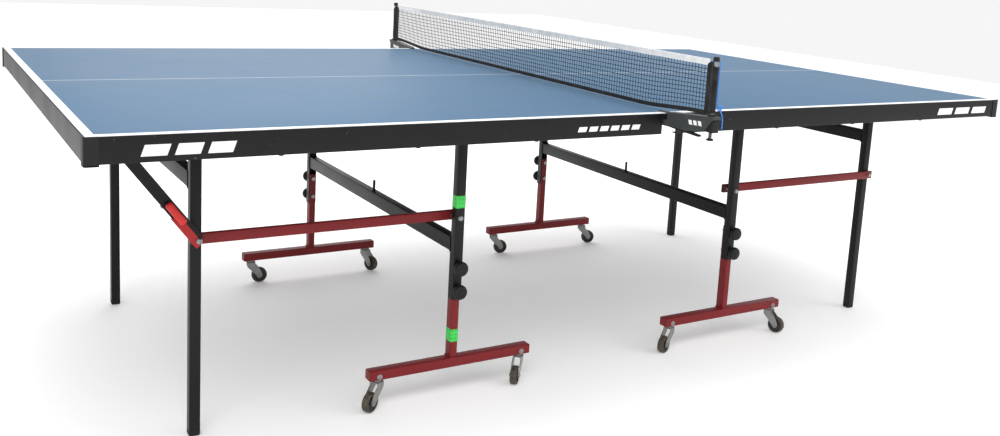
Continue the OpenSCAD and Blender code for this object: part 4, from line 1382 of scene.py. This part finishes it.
class TABLE_OT_stage(bpy.types.Operator):
    """Set up the floor, the lights and the camera"""

    bl_idname = "table.stage"
    bl_label = "Stage"

    def execute(self, context):
        make_camera()
        make_stage()
        return {"FINISHED"}


class TABLE_OT_cord(bpy.types.Operator):
    """Lay the net's tension cord"""

    bl_idname = "table.cord"
    bl_label = "Tension Cord"

    def execute(self, context):
        make_cord()
        return {"FINISHED"}


class TABLE_OT_boards(bpy.types.Operator):
    """Make both boards"""

    bl_idname = "table.boards"
    bl_label = "Boards"

    def execute(self, context):
        for name, side in SIDES:
            make_board(side, name)
        return {"FINISHED"}


class TABLE_OT_edge_profiles(bpy.types.Operator):
    """Make the steel profiles round the boards"""

    bl_idname = "table.edge_profiles"
    bl_label = "Edge Profiles"

    def execute(self, context):
        for name, side in SIDES:
            make_edge_profiles(side, name)
        return {"FINISHED"}


class TABLE_OT_corner_caps(bpy.types.Operator):
    """Make the corner caps and the buttons under the profiles"""

    bl_idname = "table.corner_caps"
    bl_label = "Corner Caps"

    def execute(self, context):
        for name, side in SIDES:
            make_corner_caps(side, name)
        return {"FINISHED"}


class TABLE_OT_rails(bpy.types.Operator):
    """Make the rails under the boards"""

    bl_idname = "table.rails"
    bl_label = "Rails"

    def execute(self, context):
        for name, side in SIDES:
            make_rails(side, name)
        return {"FINISHED"}


class TABLE_OT_posts(bpy.types.Operator):
    """Make the inner posts with their beams"""

    bl_idname = "table.posts"
    bl_label = "Inner Posts"

    def execute(self, context):
        for name, side in SIDES:
            make_posts(side, name)
        return {"FINISHED"}


class TABLE_OT_legs(bpy.types.Operator):
    """Make the outer legs with their beams and feet"""

    bl_idname = "table.legs"
    bl_label = "Outer Legs"

    def execute(self, context):
        for name, side in SIDES:
            make_legs(side, name)
            make_feet(side, name)
        return {"FINISHED"}


class TABLE_OT_links(bpy.types.Operator):
    """Make the red link bars and the frame's bolts"""

    bl_idname = "table.links"
    bl_label = "Link Bars and Bolts"

    def execute(self, context):
        for name, side in SIDES:
            make_link_bar(side, name)
            make_frame_bolts(side, name)
        return {"FINISHED"}


class TABLE_OT_brace(bpy.types.Operator):
    """Make the diagonal brace and its latch"""

    bl_idname = "table.brace"
    bl_label = "Brace and Latch"

    def execute(self, context):
        make_brace()
        make_latch()
        return {"FINISHED"}


class TABLE_OT_wheel_bases(bpy.types.Operator):
    """Make the red wheel bases and the green tape"""

    bl_idname = "table.wheel_bases"
    bl_label = "Wheel Bases"

    def execute(self, context):
        for name, side in SIDES:
            for row_name, row in ROWS:
                make_wheel_base(side, name, row, row_name)
        make_marking_tape()
        return {"FINISHED"}


class TABLE_OT_knobs(bpy.types.Operator):
    """Make the clamping knobs with their bolts"""

    bl_idname = "table.knobs"
    bl_label = "Clamping Knobs"

    def execute(self, context):
        for name, side in SIDES:
            for row_name, row in ROWS:
                for level in (0, 1):
                    make_knob(side, name, row, row_name, level)
        return {"FINISHED"}


class TABLE_OT_casters(bpy.types.Operator):
    """Make the casters"""

    bl_idname = "table.casters"
    bl_label = "Casters"

    def execute(self, context):
        for name, _ in SIDES:
            for row_name, _ in ROWS:
                for place in ("outer", "inner"):
                    make_caster(name + "_" + row_name + "_" + place)
        return {"FINISHED"}


class TABLE_OT_clamps(bpy.types.Operator):
    """Make the net clamps with their levers and screws, and the net posts"""

    bl_idname = "table.clamps"
    bl_label = "Net Clamps and Posts"

    def execute(self, context):
        make_net_clamps()
        make_net_posts()
        for row_name, row in ROWS:
            make_clamp_lever(row, row_name)
            make_height_screw(row, row_name)
        return {"FINISHED"}


class TABLE_OT_net(bpy.types.Operator):
    """Make the net with its bands, sleeves and white tape"""

    bl_idname = "table.net"
    bl_label = "Net and Tape"

    def execute(self, context):
        make_net_mesh()
        make_foot_band()
        make_end_sleeves()
        make_tape()
        return {"FINISHED"}


OPERATORS = (TABLE_OT_finishes, TABLE_OT_stage, TABLE_OT_cord, TABLE_OT_boards, TABLE_OT_edge_profiles,
             TABLE_OT_corner_caps, TABLE_OT_rails, TABLE_OT_posts, TABLE_OT_legs, TABLE_OT_links,
             TABLE_OT_brace, TABLE_OT_wheel_bases, TABLE_OT_knobs, TABLE_OT_casters, TABLE_OT_clamps,
             TABLE_OT_net)


class TABLE_PT_panel(bpy.types.Panel):
    """Sizes, colours and pieces of the table"""

    bl_idname = "TABLE_PT_panel"
    bl_label = "Table Tennis Table"
    bl_space_type = "VIEW_3D"
    bl_region_type = "UI"
    bl_category = "Table"

    def draw(self, context):
        for group in (context.scene.table_sizes, context.scene.table_paints):
            for name in group.__annotations__:
                self.layout.prop(group, name)
        for operator in OPERATORS:
            self.layout.operator(operator.bl_idname)


CLASSES = (TableSizes, TablePaints) + OPERATORS + (TABLE_PT_panel,)


def register():
    """Registers the classes and hangs the sizes and colours on the scene."""
    for cls in CLASSES:
        bpy.utils.register_class(cls)
    bpy.types.Scene.table_sizes = PointerProperty(type=TableSizes)
    bpy.types.Scene.table_paints = PointerProperty(type=TablePaints)


def unregister():
    """Takes back what register did."""
    del bpy.types.Scene.table_sizes
    del bpy.types.Scene.table_paints
    for cls in reversed(CLASSES):
        bpy.utils.unregister_class(cls)


def main():
    """Registers the add-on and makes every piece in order."""
    register()
    for operator in OPERATORS:
        getattr(bpy.ops.table, operator.bl_idname.split(".")[1])()


if __name__ == "__main__":
    main()
